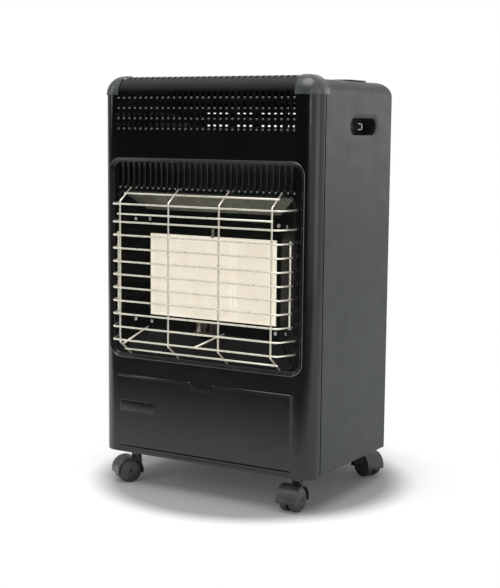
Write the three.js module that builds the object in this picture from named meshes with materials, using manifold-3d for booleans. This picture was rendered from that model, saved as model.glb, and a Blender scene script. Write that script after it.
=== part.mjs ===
// Portable gas cabinet heater: a pressed steel cabinet on four twin-wheel castors, with a
// three-plaque radiant burner behind a bowed wire guard. Millimetres, +Z up, the floor at
// z = 0, the front facing -Y, and +X to the right of a person who faces the heater.
import * as THREE from 'three';
import * as BufferGeometryUtils from 'three/addons/utils/BufferGeometryUtils.js';
import { ConvexGeometry } from 'three/addons/geometries/ConvexGeometry.js';
import Module from 'manifold-3d';

const wasm = await Module();
wasm.setup();

// ---------------------------------------------------------------- driving dimensions
const width = 420;              // across the side panels
const cabinetDepth = 277;       // fascia front to the rear edge of the sides
const fasciaHeight = 650.4;      // lower edge of the fascia to its top deck
const groundClearance = 60.3;    // floor to the lower edge of the fascia
const sheet = 1;                // all pressed steel
const seat = 0.3;               // between two pieces that rest on each other

const cornerRadius = 30;        // fascia's vertical corners and its rolled top
const deckDepth = 75;           // fascia's top deck, from the front
const deckStep = 5.4;           // deck above the top of the wrap
const fasciaFlange = 14;        // lower flange that carries the base
const sideGap = 3.4;            // shadow line between fascia and wrap
const wrapSideRadius = 24.6;    // wrap, side to top
const wrapRearRadius = 22;      // wrap, top to back
const wrapRearDrop = 10;        // rear flange below that radius
const lapAngle = 30;            // degrees of the fascia corner that the wrap's lap backs
const lapTopGap = 36;           // lap's end below the fascia's deck

const capWall = 1.2;
const capWidth = 38.5;          // cap's reach along the front, from the side
const capDepth = 43.5;          // and along the side, from the front
const capHeight = 31;
const capOverlap = 4.5;         // cap over the upright edges of the notch
const capFoot = 2.5;            // and over its lower edge

const slotPitch = 11.4;
const slotMargin = 12;          // side of the burner opening to the outer columns' cells
const grilleRows = 4;
const grilleRowPitch = 17.15;
const grilleTop = 26.2;         // deck to the top of the first row
const grilleSlotWidth = 5;
const grilleSlotHeight = 8.5;
const deckSlotFront = 15;       // fascia front to the front end of the deck's slots
const deckSlotLength = 42;

const recessMargin = 20;        // side of the cabinet to the rolled-in burner opening
const recessHeight = 343;
const recessTop = 137.7;        // deck to the upper edge of the opening
const recessRadius = 22;
const recessDepth = 4;
const recessSlope = 4;          // width of the rolled edge
const surroundLap = 3;          // surround behind the rolled edge

const combTop = 6;              // opening's upper edge to the long slots
const combHeight = 42;
const combSlotWidth = 5.6;
const combSill = 8.5;           // long slots to the burner aperture
const apertureSill = 13;        // aperture's lower edge to the opening's
const apertureMargin = 18;      // and its sides to the opening's
const apertureRadius = 10;

const embossMargin = 34;        // side of the cabinet to the raised lower panel
const embossTop = 30.7;         // burner opening down to that panel
const embossBottom = 10;        // above the fascia's lower edge
const embossRaise = 4;
const notchWidth = 42;
const notchDepth = 9;
const notchTaper = 4;

const plaqueCount = 3;
const plaqueWidth = 83.4;
const plaqueHeight = 141;
const plaqueThickness = 13;
const plaqueSetback = 30;       // plaque face behind the fascia front
const plaqueDrop = 5.6;         // plaque centre below the aperture's centre
const frameMarginX = 9;         // burner frame beside, above and below the plaques
const frameMarginTop = 43;
const frameMarginBottom = 26;
const frameProud = 1;           // plaque face ahead of the burner frame
const burnerDepth = 36;
const burnerWall = 2;
const venturiRadius = 9;
const venturiLength = 44;
const railRadius = 6;
const railDrop = 18;            // mixing tubes down to the gas rail
const injectorRadius = 5;
const injectorHeight = 13;      // injector's hexagon above the rail
const jetHeight = 8;
const earWidth = 12;            // rail's feet on the heat shield
const earHeight = 16;
const earThickness = 2;
const pipeRadius = 4;
const pipeOffset = 14;          // rail's end to the pipe's drop
const pipeFall = 30;            // pipe's slope, from the valve's side to the drop
const pipeBend = 12;

const guardStandoff = 30;       // front wires' centres ahead of the fascia
const wireDiameter = 3.2;
const weldDepth = 0.4;          // wires sunk into each other where they are welded
const guardColumns = 4;
const guardMargin = 11;         // aperture's sides to the bends of the long wires
const guardColumnMargin = 12.5; // those bends to the outer columns
const guardFlare = 14.5;        // long wires' ends outside their bends
const guardRows = 10;
const guardTopRow = 49.9;       // aperture's upper edge down to the first of them
const guardBottomRow = 21.82;   // and its lower edge up to the last
const guardTopBend = 15.5;      // aperture's upper edge down to the columns' upper bends
const guardBottomBend = 18;     // aperture's lower edge up to their lower bends
const guardTopFoot = 6.5;       // columns' upper ends above the aperture
const guardBottomFoot = 6;      // and their lower ends below it
const guardShortOverhang = 3;   // short wires past the outer columns
const guardShortDrop = 13.6;    // short wire above the first long row
const bendRadius = 9;           // rows' bends
const columnBend = 4;
const stayStart = 4;            // middle stay's ends, right of the heater's middle
const stayEnd = 26;

const pilotX = -8;
const pilotReach = 22;          // bracket beside the pilot
const pilotShelf = 14;          // and its shelf ahead of the burner frame
const pilotSetback = 8;
const pilotPitch = 12;

const handleLength = 95;        // hand hole in each side
const handleHeight = 28.5;
const handleDrop = 75.3;        // wrap's top to the middle of the hole
const handleSetback = 173;      // fascia front to the middle of the hole
const flareWidth = 11;          // pressed edge round the hole
const flareDepth = 4;
const cupDepth = 26;
const cupWall = 2;

const baseRim = 18;             // the base is a tray turned over, its rim down
const socketWall = 4;           // castor sockets under the base
const baseTongueMargin = 3;     // sides of the rear cover to the base behind the cabinet
const baseTongueCorner = 34;
const baseTongueEnd = 2.5;      // back of the base ahead of the rear cover's back
const coverBulge = 85;          // rear cover behind the sides
const coverMargin = 35;         // side of the cabinet to the bulge
const coverRadius = 45;
const coverBottom = 20;         // above the fascia's lower edge
const coverHeight = 508;
const coverTopRadius = 40;
const coverHeadroom = 14;       // cover's plate above its bulge
const coverClearance = 0.6;
const coverCatch = 14;          // depth of the cover's clip flange
const louvreRows = 5;
const louvreColumns = 6;
const louvrePitch = 12;
const louvreLength = 46;
const louvreHeight = 4;
const louvreGap = 12;
const coverLouvreColumns = 4;
const coverLouvreDrop = 30;     // cover's upper bend down to the first row
const panelLouvreDrop = 26;     // upper panel's edge down to its first row

const shieldGap = 6.7;          // burners to the heat shield
const shieldBottom = 178;       // above the fascia's lower edge
const shieldHeight = 390;
const shieldFlange = 14;

const trayLength = 132;         // control well in the top, along X
const trayWidth = 70;
const trayDepth = 34;
const trayWall = 2;
const trayRim = 5;
const trayInset = 92;           // side of the cabinet to the middle of the well
const trayCentreY = 190;        // from the fascia front
const trayRadius = 12;
const knobRadius = 22;
const knobHeight = 24;
const knobLift = 6;             // knob above the well's floor, room for its push
const knobOffset = 28;          // knob right of the well's centre
const knobFlutes = 12;
const spindleRadius = 4;
const valveLength = 52;
const valveWidth = 34;
const valveHeight = 40;
const hoseTailLength = 30;
const buttonRadius = 8;
const buttonHeight = 12;
const buttonTravel = 6;
const buttonOffset = -38;       // button left of the well's centre
const igniterRadius = 10;
const igniterHeight = 48;

const castorFrontInset = 46;    // side of the cabinet to the front swivels
const castorFront = 41.5;       // fascia front to them
const castorRearMargin = 17;    // sides of the base's tongue to the rear swivels
const castorRearEnd = 61;       // and its end to them
const wheelRadius = 21;
const wheelWidth = 15.5;
const wheelFacets = 16;
const webThickness = 5;
const hoodWall = 2;
const wheelGap = 1;             // tread to hood
const castorTrail = 17;         // swivel axis to axle
const hoodCut = 5;              // hood's lower edge below the axle
const neckRadius = 9;
const neckTop = 48;
const neckFoot = 4;             // neck's lower end above the axle
const stemRadius = 4;
const stemDepth = 8;            // stem in the hood
const axleRadius = 2.4;
const runningGap = 0.45;
const castorHeadings = { front_left: 55, front_right: 90, rear_left: 115, rear_right: 158 };

// ---------------------------------------------------------------- derived places
const halfWidth = width / 2;
const recessWidth = width - 2 * recessMargin;
const apertureWidth = recessWidth - 2 * apertureMargin;
const apertureTop = combTop + combHeight + combSill;
const apertureHeight = recessHeight - apertureTop - apertureSill;
const slotColumns = Math.floor((recessWidth - 2 * slotMargin) / slotPitch);
const embossWidth = width - 2 * embossMargin;
const embossHeight = fasciaHeight - recessTop - recessHeight - embossTop - embossBottom;
const guardWidth = apertureWidth - 2 * guardMargin;
const guardColumnPitch = (guardWidth - 2 * guardColumnMargin) / (guardColumns - 1);
const guardRowPitch = (apertureHeight - guardTopRow - guardBottomRow) / (guardRows - 1);
const coverWidth = width - 2 * coverMargin;
const baseTongueWidth = coverWidth - 2 * baseTongueMargin;
const trayCentreX = halfWidth - trayInset;
const guardReach = guardStandoff + wireDiameter / 2;
const frontY = -(guardReach + cabinetDepth + coverBulge) / 2 + guardReach;
const rearY = frontY + cabinetDepth;
const bottomZ = groundClearance;
const topZ = bottomZ + fasciaHeight;
const wrapTopZ = topZ - deckStep;
const recessTopZ = topZ - recessTop;
const recessBottomZ = recessTopZ - recessHeight;
const apertureTopZ = recessTopZ - apertureTop;
const apertureBottomZ = apertureTopZ - apertureHeight;
const plaqueZ = (apertureTopZ + apertureBottomZ) / 2 - plaqueDrop;
const plaqueY = frontY + plaqueSetback;
const surroundY = frontY + recessDepth + seat;      // surround's front face
const frameY = plaqueY + frameProud;                // burner frame's front face
const burnerY = plaqueY + plaqueThickness + seat;   // front of the burner bodies
const burnerBackY = burnerY + burnerDepth;
const shieldY = burnerBackY + shieldGap;            // heat shield's front face
const tongueEndY = rearY + coverBulge - baseTongueEnd;
const far = 1000;                                   // past the object, for cutters

// ---------------------------------------------------------------- solids
function toSolid(geometry) {
  const bare = geometry.index ? geometry.toNonIndexed() : geometry.clone();
  bare.deleteAttribute('normal');
  bare.deleteAttribute('uv');
  const merged = BufferGeometryUtils.mergeVertices(bare, 1e-4);
  const triangles = [];
  const index = merged.index.array;
  for (let i = 0; i < index.length; i += 3) {
    const [a, b, c] = [index[i], index[i + 1], index[i + 2]];
    if (a !== b && b !== c && a !== c) triangles.push(a, b, c);
  }
  return new wasm.Manifold(new wasm.Mesh({
    numProp: 3,
    vertProperties: new Float32Array(merged.attributes.position.array),
    triVerts: new Uint32Array(triangles),
  }));
}

function toGeometry(solid) {
  const mesh = solid.getMesh();
  const geometry = new THREE.BufferGeometry();
  geometry.setAttribute('position', new THREE.BufferAttribute(mesh.vertProperties, 3));
  geometry.setIndex(new THREE.BufferAttribute(mesh.triVerts, 1));
  return BufferGeometryUtils.toCreasedNormals(geometry, Math.PI / 6);
}

const join = (first, ...others) => others.reduce((sum, other) => sum.add(other), first);
const cut = (first, ...others) => others.reduce((rest, other) => rest.subtract(other), first);

function box(x0, x1, y0, y1, z0, z1) {
  const geometry = new THREE.BoxGeometry(x1 - x0, y1 - y0, z1 - z0);
  return toSolid(geometry.translate((x0 + x1) / 2, (y0 + y1) / 2, (z0 + z1) / 2));
}

// An outline drawn in (x, y), pushed up from z0 to z1.
function alongZ(outline, z0, z1, curveSegments = 4) {
  const options = { depth: z1 - z0, bevelEnabled: false, curveSegments };
  return toSolid(new THREE.ExtrudeGeometry(outline, options).translate(0, 0, z0));
}

// An outline drawn in (x, z), pushed back from y0 to y1.
function alongY(outline, y0, y1, curveSegments = 4) {
  const options = { depth: y1 - y0, bevelEnabled: false, curveSegments };
  const geometry = new THREE.ExtrudeGeometry(outline, options).rotateX(Math.PI / 2);
  return toSolid(geometry.translate(0, y1, 0));
}

// An outline drawn in (y, z), pushed right from x0 to x1.
function alongX(outline, x0, x1, curveSegments = 4) {
  const options = { depth: x1 - x0, bevelEnabled: false, curveSegments };
  const geometry = new THREE.ExtrudeGeometry(outline, options);
  geometry.rotateX(Math.PI / 2).rotateZ(Math.PI / 2);
  return toSolid(geometry.translate(x0, 0, 0));
}

// A rectangle whose four corners have their own radii, from the lower left, anticlockwise.
function roundedOutline(x0, x1, y0, y1, radii) {
  const [a, b, c, d] = Array.isArray(radii) ? radii : [radii, radii, radii, radii];
  const outline = new THREE.Shape();
  outline.moveTo(x0 + a, y0);
  outline.lineTo(x1 - b, y0);
  if (b) outline.absarc(x1 - b, y0 + b, b, -Math.PI / 2, 0, false);
  outline.lineTo(x1, y1 - c);
  if (c) outline.absarc(x1 - c, y1 - c, c, 0, Math.PI / 2, false);
  outline.lineTo(x0 + d, y1);
  if (d) outline.absarc(x0 + d, y1 - d, d, Math.PI / 2, Math.PI, false);
  outline.lineTo(x0, y0 + a);
  if (a) outline.absarc(x0 + a, y0 + a, a, Math.PI, 1.5 * Math.PI, false);
  outline.closePath();
  return outline;
}

// A solid from triangles that agree with each other, turned outward if they face inward.
function skin(corners) {
  const solid = toSolid(new THREE.BufferGeometry().setFromPoints(corners));
  return solid.volume() > 0 ? solid : skin([...corners].reverse());
}

// A closed skin through rings of equal length. The rings close on each other, like a tyre,
// or the first and the last are covered by flat caps.
function loft(rings, closed = false) {
  const count = rings[0].length;
  const corners = [];
  const last = closed ? rings.length : rings.length - 1;
  for (let i = 0; i < last; i++) {
    const here = rings[i];
    const next = rings[(i + 1) % rings.length];
    for (let j = 0; j < count; j++) {
      const k = (j + 1) % count;
      corners.push(here[j], here[k], next[k], here[j], next[k], next[j]);
    }
  }
  if (closed) return skin(corners);
  const { area, triangulateShape } = THREE.ShapeUtils;
  const flat = rings[0].map((p) => new THREE.Vector2(p.x, p.z));
  for (const cap of triangulateShape(flat, [])) {
    const agrees = area(cap.map((i) => flat[i])) > 0 === area(flat) > 0;
    const [a, b, c] = agrees ? cap : [...cap].reverse();
    corners.push(rings[0][c], rings[0][b], rings[0][a]);
    corners.push(rings.at(-1)[a], rings.at(-1)[b], rings.at(-1)[c]);
  }
  return skin(corners);
}

// The points of an outline drawn in (x, z), stood up at y.
function ringAt(outline, y, divisions = 3) {
  const points = outline.getPoints(divisions);
  const distinct = points.filter((p, i) => p.distanceTo(points.at(i - 1)) > 1e-6);
  return distinct.map((p) => new THREE.Vector3(p.x, y, p.y));
}

// A straight-sided wire through points, mitred at each of them.
function wire(points, radius, sides = 6) {
  const step = (i) => points[i + 1].clone().sub(points[i]).normalize();
  const first = step(0);
  const side = new THREE.Vector3(0, 0, 1).cross(first);
  if (side.length() < 0.1) side.set(1, 0, 0);
  side.normalize();
  const up = first.clone().cross(side);
  const apothemTurn = Math.PI / sides;
  let ring = Array.from({ length: sides }, (_, i) => {
    const angle = apothemTurn + (i * 2 * Math.PI) / sides;
    return points[0].clone().addScaledVector(side, radius * Math.cos(angle))
      .addScaledVector(up, radius * Math.sin(angle));
  });
  const rings = [ring];
  for (let i = 1; i < points.length; i++) {
    const along = step(i - 1);
    const normal = i < points.length - 1 ? along.clone().add(step(i)).normalize() : along;
    ring = ring.map((p) => {
      const reach = points[i].clone().sub(p).dot(normal) / along.dot(normal);
      return p.clone().addScaledVector(along, reach);
    });
    rings.push(ring);
  }
  const corners = [];
  for (let i = 0; i < rings.length - 1; i++) {
    for (let j = 0; j < sides; j++) {
      const k = (j + 1) % sides;
      corners.push(rings[i][j], rings[i][k], rings[i + 1][k]);
      corners.push(rings[i][j], rings[i + 1][k], rings[i + 1][j]);
    }
  }
  for (let j = 1; j < sides - 1; j++) {
    corners.push(rings[0][0], rings[0][j + 1], rings[0][j]);
    corners.push(rings.at(-1)[0], rings.at(-1)[j], rings.at(-1)[j + 1]);
  }
  return skin(corners);
}

// The same route with each corner rounded by an arc of a few short steps.
function rounded(points, radius, steps = 1) {
  const route = [points[0]];
  for (let i = 1; i < points.length - 1; i++) {
    const before = points[i - 1].clone().sub(points[i]);
    const after = points[i + 1].clone().sub(points[i]);
    const reach = Math.min(radius, before.length() * 0.45, after.length() * 0.45);
    const start = points[i].clone().addScaledVector(before.normalize(), reach);
    const end = points[i].clone().addScaledVector(after.normalize(), reach);
    const bend = new THREE.QuadraticBezierCurve3(start, points[i], end);
    route.push(...bend.getPoints(steps));
  }
  route.push(points.at(-1));
  return route;
}

function lathe(profile, segments, closed = true) {
  const points = profile.map(([r, h]) => new THREE.Vector2(r, h));
  if (closed) points.push(points[0].clone());
  const solid = toSolid(new THREE.LatheGeometry(points, segments));
  return solid.volume() > 0 ? solid : lathe([...profile].reverse(), segments, closed);
}

// A round bar between two heights, with flats squared to the axes.
function post(x, y, radius, z0, z1, sides = 16) {
  const geometry = new THREE.CylinderGeometry(radius, radius, z1 - z0, sides);
  geometry.rotateX(Math.PI / 2).rotateZ(Math.PI / sides);
  return toSolid(geometry.translate(x, y, (z0 + z1) / 2));
}

const v = (x, y, z) => new THREE.Vector3(x, y, z);
const both = [[-1, 'left'], [1, 'right']];
const columnX = (i) => (i - (slotColumns - 1) / 2) * slotPitch;
const columns = Array.from({ length: slotColumns }, (_, i) => columnX(i));

// ---------------------------------------------------------------- fascia
// The fascia's skin from outside, drawn in by an inset.
function fasciaBody(inset) {
  const radius = cornerRadius - inset;
  const left = -halfWidth + inset;
  const back = inset ? frontY + far : frontY + deckDepth;
  const base = inset ? bottomZ - far : bottomZ;
  const plan = roundedOutline(left, -left, frontY + inset, back, [radius, radius, 0, 0]);
  const side = roundedOutline(frontY + inset, back, base, topZ - inset, [0, 0, 0, radius]);
  return alongZ(plan, base, topZ - inset, 3).intersect(alongX(side, -far, far, 3));
}

// The raised lower panel's outline, with the finger notch in its upper edge.
function embossOutline(inset) {
  const x = embossWidth / 2 - inset;
  const low = bottomZ + embossBottom + inset;
  const high = bottomZ + embossBottom + embossHeight - inset;
  const outline = new THREE.Shape();
  const points = [
    [-x, low], [x, low], [x, high], [notchWidth / 2 + inset, high],
    [notchWidth / 2 - notchTaper + inset, high - notchDepth],
    [-notchWidth / 2 + notchTaper - inset, high - notchDepth],
    [-notchWidth / 2 - inset, high], [-x, high],
  ];
  return outline.setFromPoints(points.map(([px, pz]) => new THREE.Vector2(px, pz)));
}

function embossBody(back) {
  const root = ringAt(embossOutline(0), frontY + back + sheet / 2);
  const foot = ringAt(embossOutline(0), frontY + back);
  const crown = ringAt(embossOutline(embossRaise), frontY + back - embossRaise);
  return loft([crown, foot, root]);
}

function recessOutline(inset) {
  const radius = recessRadius - inset;
  const x = recessWidth / 2 - inset;
  return roundedOutline(-x, x, recessBottomZ + inset, recessTopZ - inset, radius);
}

function rolledEdge() {
  const rings = [
    ringAt(recessOutline(-sheet / 2), frontY),
    ringAt(recessOutline(0), frontY),
    ringAt(recessOutline(recessSlope), frontY + recessDepth - sheet),
    ringAt(recessOutline(recessSlope), frontY + recessDepth),
    ringAt(recessOutline(recessSlope - sheet), frontY + recessDepth),
    ringAt(recessOutline(-sheet / 2), frontY + sheet),
  ];
  return loft(rings, true);
}

function makeFascia() {
  const returnEnd = frontY + cornerRadius + 1;
  const notchX = halfWidth - capWidth + capOverlap;
  const notchZ = topZ - capHeight + capFoot;
  let body = cut(fasciaBody(0), fasciaBody(sheet));
  const deckEdge = frontY + deckDepth;
  body = cut(
    body,
    box(-far, far, returnEnd, far, bottomZ - 1, notchZ),
    box(notchX, far, frontY - 1, far, notchZ, topZ + 1),
    box(-far, -notchX, frontY - 1, far, notchZ, topZ + 1),
  );
  const lipFoot = wrapTopZ + seat;
  const deckRim = cut(
    box(-notchX, notchX, frontY + cornerRadius, deckEdge, lipFoot, topZ),
    box(-notchX + sheet, notchX - sheet, frontY, deckEdge - sheet, lipFoot - 1, topZ - sheet),
  );
  const flangeX = halfWidth - cornerRadius;
  const flange = box(-flangeX, flangeX, frontY, frontY + fasciaFlange, bottomZ, bottomZ + sheet);
  body = join(body, deckRim, flange, embossBody(0));
  body = cut(body, embossBody(sheet), alongY(recessOutline(0), frontY - 1, frontY + 2 * sheet));
  body = join(body, rolledEdge());
  for (const x of columns) {
    const [x0, x1] = [x - grilleSlotWidth / 2, x + grilleSlotWidth / 2];
    for (let row = 0; row < grilleRows; row++) {
      const high = topZ - grilleTop - row * grilleRowPitch;
      const low = high - grilleSlotHeight;
      body = cut(body, box(x0, x1, frontY - 1, frontY + cornerRadius / 2, low, high));
    }
    const slotBack = frontY + deckSlotFront + deckSlotLength;
    body = cut(body, box(x0, x1, frontY + deckSlotFront, slotBack, topZ - cornerRadius, topZ + 1));
  }
  return body;
}

// ---------------------------------------------------------------- burner surround
function makeSurround() {
  const lap = recessSlope - surroundLap;
  const plate = alongY(recessOutline(lap), surroundY, surroundY + sheet);
  const x = apertureWidth / 2;
  const hole = roundedOutline(-x, x, apertureBottomZ, apertureTopZ, apertureRadius);
  let body = cut(plate, alongY(hole, surroundY - 1, surroundY + far, 5));
  const combTopZ = recessTopZ - combTop;
  const combBottomZ = combTopZ - combHeight;
  for (const x of columns) {
    const [x0, x1] = [x - combSlotWidth / 2, x + combSlotWidth / 2];
    body = cut(body, box(x0, x1, surroundY - far, surroundY + far, combBottomZ, combTopZ));
  }
  return body;
}

// ---------------------------------------------------------------- corner caps
// A block whose front, side and upper edges meet in a ball, drawn in by an inset.
function ballCorner(inset) {
  const radius = cornerRadius + seat + capWall - inset;
  const centre = v(halfWidth - cornerRadius, frontY + cornerRadius, topZ - cornerRadius);
  const x0 = halfWidth - capWidth - inset;
  const y1 = frontY + capDepth + inset;
  const z0 = topZ - capHeight - inset;
  const points = [v(x0, y1, z0)];
  const steps = 6;
  for (let i = 0; i <= steps; i++) {
    const turn = (i * Math.PI) / 2 / steps;
    const [across, rise] = [radius * Math.cos(turn), radius * Math.sin(turn)];
    points.push(v(x0, centre.y - across, centre.z + rise));
    points.push(v(centre.x + across, y1, centre.z + rise));
    points.push(v(centre.x + across, centre.y - rise, z0));
    for (let j = 0; j <= steps; j++) {
      const spin = (j * Math.PI) / 2 / steps;
      const reach = radius * Math.cos(turn);
      points.push(v(
        centre.x + reach * Math.cos(spin),
        centre.y - reach * Math.sin(spin),
        centre.z + rise,
      ));
    }
  }
  points.push(v(x0, y1, centre.z + radius), v(x0, centre.y - radius, z0));
  points.push(v(centre.x + radius, y1, z0));
  return toSolid(new ConvexGeometry(points));
}

function makeCap() {
  return cut(ballCorner(0), ballCorner(capWall));
}

// ---------------------------------------------------------------- cabinet wrap
function wrapBody(inset) {
  const x = halfWidth - inset;
  const front = inset ? frontY - far : frontY + cornerRadius + 1 + sideGap;
  const base = inset ? bottomZ - far : bottomZ + 1.5;
  const sideR = wrapSideRadius - inset;
  const rearR = wrapRearRadius - inset;
  const hoop = roundedOutline(-x, x, base, wrapTopZ - inset, [0, 0, sideR, sideR]);
  const side = roundedOutline(front, rearY - inset, base, wrapTopZ - inset, [0, 0, rearR, 0]);
  return alongY(hoop, front, rearY - inset).intersect(alongX(side, -far, far));
}

// The lap behind the fascia's corner, seen from above, on the right.
function lapOutline() {
  const [cx, cy] = [halfWidth - cornerRadius, frontY + cornerRadius];
  const outer = cornerRadius - sheet - seat;
  const inner = outer - sheet;
  const sweep = -(lapAngle * Math.PI) / 180;
  const stepY = frontY + cornerRadius + 1 + sideGap;
  const outline = new THREE.Shape();
  outline.moveTo(cx + inner, stepY + 3);
  outline.lineTo(cx + inner, cy);
  outline.absarc(cx, cy, inner, 0, sweep, true);
  outline.lineTo(cx + outer * Math.cos(sweep), cy + outer * Math.sin(sweep));
  outline.absarc(cx, cy, outer, sweep, 0, false);
  outline.lineTo(cx + outer, stepY);
  outline.lineTo(halfWidth - sheet / 2, stepY);
  outline.lineTo(halfWidth - sheet / 2, stepY + 3);
  return outline;
}

function stadium(inset) {
  const x = handleLength / 2 - inset;
  const z = handleHeight / 2 - inset;
  return roundedOutline(-x, x, -z, z, z);
}

const handlePlace = [0, frontY + handleSetback, wrapTopZ - handleDrop];

// The pressed edge of the right-hand hand hole, then the hole itself as a cutter.
function handleFlare() {
  const depth = flareDepth;
  const rings = [
    ringAt(stadium(-flareWidth - sheet / 2), 0, 3),
    ringAt(stadium(-flareWidth), 0, 3),
    ringAt(stadium(0), depth - sheet, 3),
    ringAt(stadium(0), depth, 3),
    ringAt(stadium(-sheet), depth, 3),
    ringAt(stadium(-flareWidth - sheet / 2), sheet, 3),
  ];
  return loft(rings, true).rotate([0, 0, 90]).translate([halfWidth, ...handlePlace.slice(1)]);
}

function handleHole() {
  const cutter = alongY(stadium(-flareWidth), -1, 2 * sheet, 3);
  return cutter.rotate([0, 0, 90]).translate([halfWidth, ...handlePlace.slice(1)]);
}

const mirrorX = (solid) => solid.mirror([1, 0, 0]);

const trayY = frontY + trayCentreY;
function trayOutline(margin, radius) {
  const [x, y] = [trayLength / 2 + margin, trayWidth / 2 + margin];
  return roundedOutline(trayCentreX - x, trayCentreX + x, trayY - y, trayY + y, radius);
}

function makeWrap() {
  let body = cut(wrapBody(0), wrapBody(sheet));
  const rearHole = wrapTopZ - wrapRearRadius - wrapRearDrop;
  const inside = halfWidth - sheet;
  body = cut(body, box(-inside, inside, rearY - 5, rearY + 1, 0, rearHole));
  const deckHoleX = halfWidth - capWidth - 6;
  const deckHoleBack = frontY + deckDepth - 12;
  body = cut(body, box(-deckHoleX, deckHoleX, frontY, deckHoleBack, wrapTopZ - 5, wrapTopZ + 1));
  body = cut(body, alongZ(trayOutline(seat, trayRadius + seat), wrapTopZ - 5, wrapTopZ + 1));
  const lap = alongZ(lapOutline(), bottomZ + 3, topZ - lapTopGap, 2);
  body = cut(body, handleHole(), mirrorX(handleHole()));
  return join(body, handleFlare(), mirrorX(handleFlare()), lap, mirrorX(lap));
}

// A cup behind the right-hand hole: a flange against the pressed edge, walls and a floor.
function makeCup() {
  const mouth = flareDepth + seat;
  const flange = alongY(stadium(-flareWidth + 3), mouth, mouth + cupWall, 3);
  const outside = alongY(stadium(-1 - cupWall), mouth, mouth + cupDepth, 3);
  const inside = alongY(stadium(-1), mouth - 1, mouth + cupDepth - cupWall, 3);
  const cup = cut(join(flange, outside), inside);
  return cup.rotate([0, 0, 90]).translate([halfWidth, ...handlePlace.slice(1)]);
}

// ---------------------------------------------------------------- base
const frontCastorX = halfWidth - castorFrontInset;
const rearCastorX = baseTongueWidth / 2 - castorRearMargin;
const rearCastorY = tongueEndY - castorRearEnd;
const castors = {
  front_left: [-frontCastorX, frontY + castorFront],
  front_right: [frontCastorX, frontY + castorFront],
  rear_left: [-rearCastorX, rearCastorY],
  rear_right: [rearCastorX, rearCastorY],
};
const baseZ = bottomZ + sheet + seat;       // lower edge of the base's rim
const baseTopZ = baseZ + baseRim;
const stemTopZ = baseTopZ - 3;

function baseOutline(inset) {
  const front = frontY + sheet + seat + inset;
  const nose = halfWidth - cornerRadius - inset;
  const shoulder = frontY + cornerRadius + sideGap + 5 + inset;
  const x = halfWidth - sheet - seat - inset;
  const heel = rearY - coverCatch - inset;
  const tongue = baseTongueWidth / 2 - inset;
  const end = tongueEndY - inset;
  const chamfer = baseTongueCorner - inset * (2 - Math.SQRT2);
  const points = [
    [-nose, front], [nose, front], [nose, shoulder], [x, shoulder], [x, heel],
    [tongue, heel], [tongue, end - chamfer], [tongue - chamfer, end],
    [chamfer - tongue, end], [-tongue, end - chamfer], [-tongue, heel], [-x, heel],
    [-x, shoulder], [-nose, shoulder],
  ];
  return new THREE.Shape(points.map(([px, py]) => new THREE.Vector2(px, py)));
}

function makeBase() {
  let body = cut(
    alongZ(baseOutline(0), baseZ, baseTopZ),
    alongZ(baseOutline(sheet), baseZ - 1, baseTopZ - sheet),
  );
  for (const [x, y] of Object.values(castors)) {
    const socket = post(x, y, stemRadius + socketWall, baseZ + 1, baseTopZ - sheet / 2);
    const bore = post(x, y, stemRadius + seat, 0, stemTopZ + seat);
    body = cut(join(body, socket), bore);
  }
  return body;
}

// ---------------------------------------------------------------- rear
const panelX = halfWidth - sheet - coverClearance;
const coverBottomZ = bottomZ + coverBottom;
const coverTopZ = coverBottomZ + coverHeight;

function coverBody(inset) {
  const x = coverWidth / 2 - inset;
  const back = rearY + coverBulge - inset;
  const front = inset ? rearY - far : rearY - sheet;
  const radius = coverRadius - inset;
  const low = inset ? coverBottomZ - far : coverBottomZ;
  const high = coverTopZ - coverHeadroom - inset;
  const topR = coverTopRadius - inset;
  const plan = roundedOutline(-x, x, front, back, [0, 0, radius, radius]);
  const side = roundedOutline(front, back, low, high, [0, 0, topR, 0]);
  return alongZ(plan, low, high).intersect(alongX(side, -far, far));
}

function makeRearCover() {
  const plate = box(-panelX, panelX, rearY - 2 * sheet, rearY - sheet, coverBottomZ, coverTopZ);
  let body = cut(join(plate, coverBody(0)), coverBody(sheet));
  for (const side of [-1, 1]) {
    const x = side * (panelX - sheet / 2);
    const flange = box(x - sheet / 2, x + sheet / 2, rearY - coverCatch, rearY - sheet,
      coverBottomZ, coverTopZ);
    body = join(body, flange);
  }
  const firstRow = coverTopZ - coverHeadroom - coverTopRadius - coverLouvreDrop;
  return cut(body, ...louvreCutters(firstRow, rearY + coverBulge, coverLouvreColumns));
}

// Slots in rows below a height, through whatever stands at y.
function louvreCutters(firstZ, y, across) {
  const cutters = [];
  for (let row = 0; row < louvreRows; row++) {
    const z = firstZ - row * louvrePitch;
    for (let i = 0; i < across; i++) {
      const x = (i - (across - 1) / 2) * (louvreLength + louvreGap);
      cutters.push(box(x - louvreLength / 2, x + louvreLength / 2, y - 4, y + 2,
        z - louvreHeight, z));
    }
  }
  return cutters;
}

function makeRearPanel() {
  const [y0, y1] = [rearY - sheet - seat - sheet, rearY - sheet - seat];
  const low = coverTopZ + coverClearance;
  const high = wrapTopZ - wrapRearRadius - 2;
  const inside = panelX - sheet;
  const front = y0 - shieldFlange;
  const hollow = box(-inside, inside, front - 1, y0, low + sheet, high + 1);
  const body = cut(box(-panelX, panelX, front, y1, low, high), hollow);
  return cut(body, ...louvreCutters(high - panelLouvreDrop, y1, louvreColumns));
}

// ---------------------------------------------------------------- heat shield
function makeShield() {
  const [y0, y1] = [shieldY, shieldY + sheet];
  const x = halfWidth - sheet - seat;
  const low = bottomZ + shieldBottom;
  const high = low + shieldHeight;
  const plate = box(-x, x, y0, y1, low, high);
  const left = box(-x, -x + sheet, y0, y1 + shieldFlange, low, high);
  const right = box(x - sheet, x, y0, y1 + shieldFlange, low, high);
  return join(plate, left, right);
}

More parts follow.
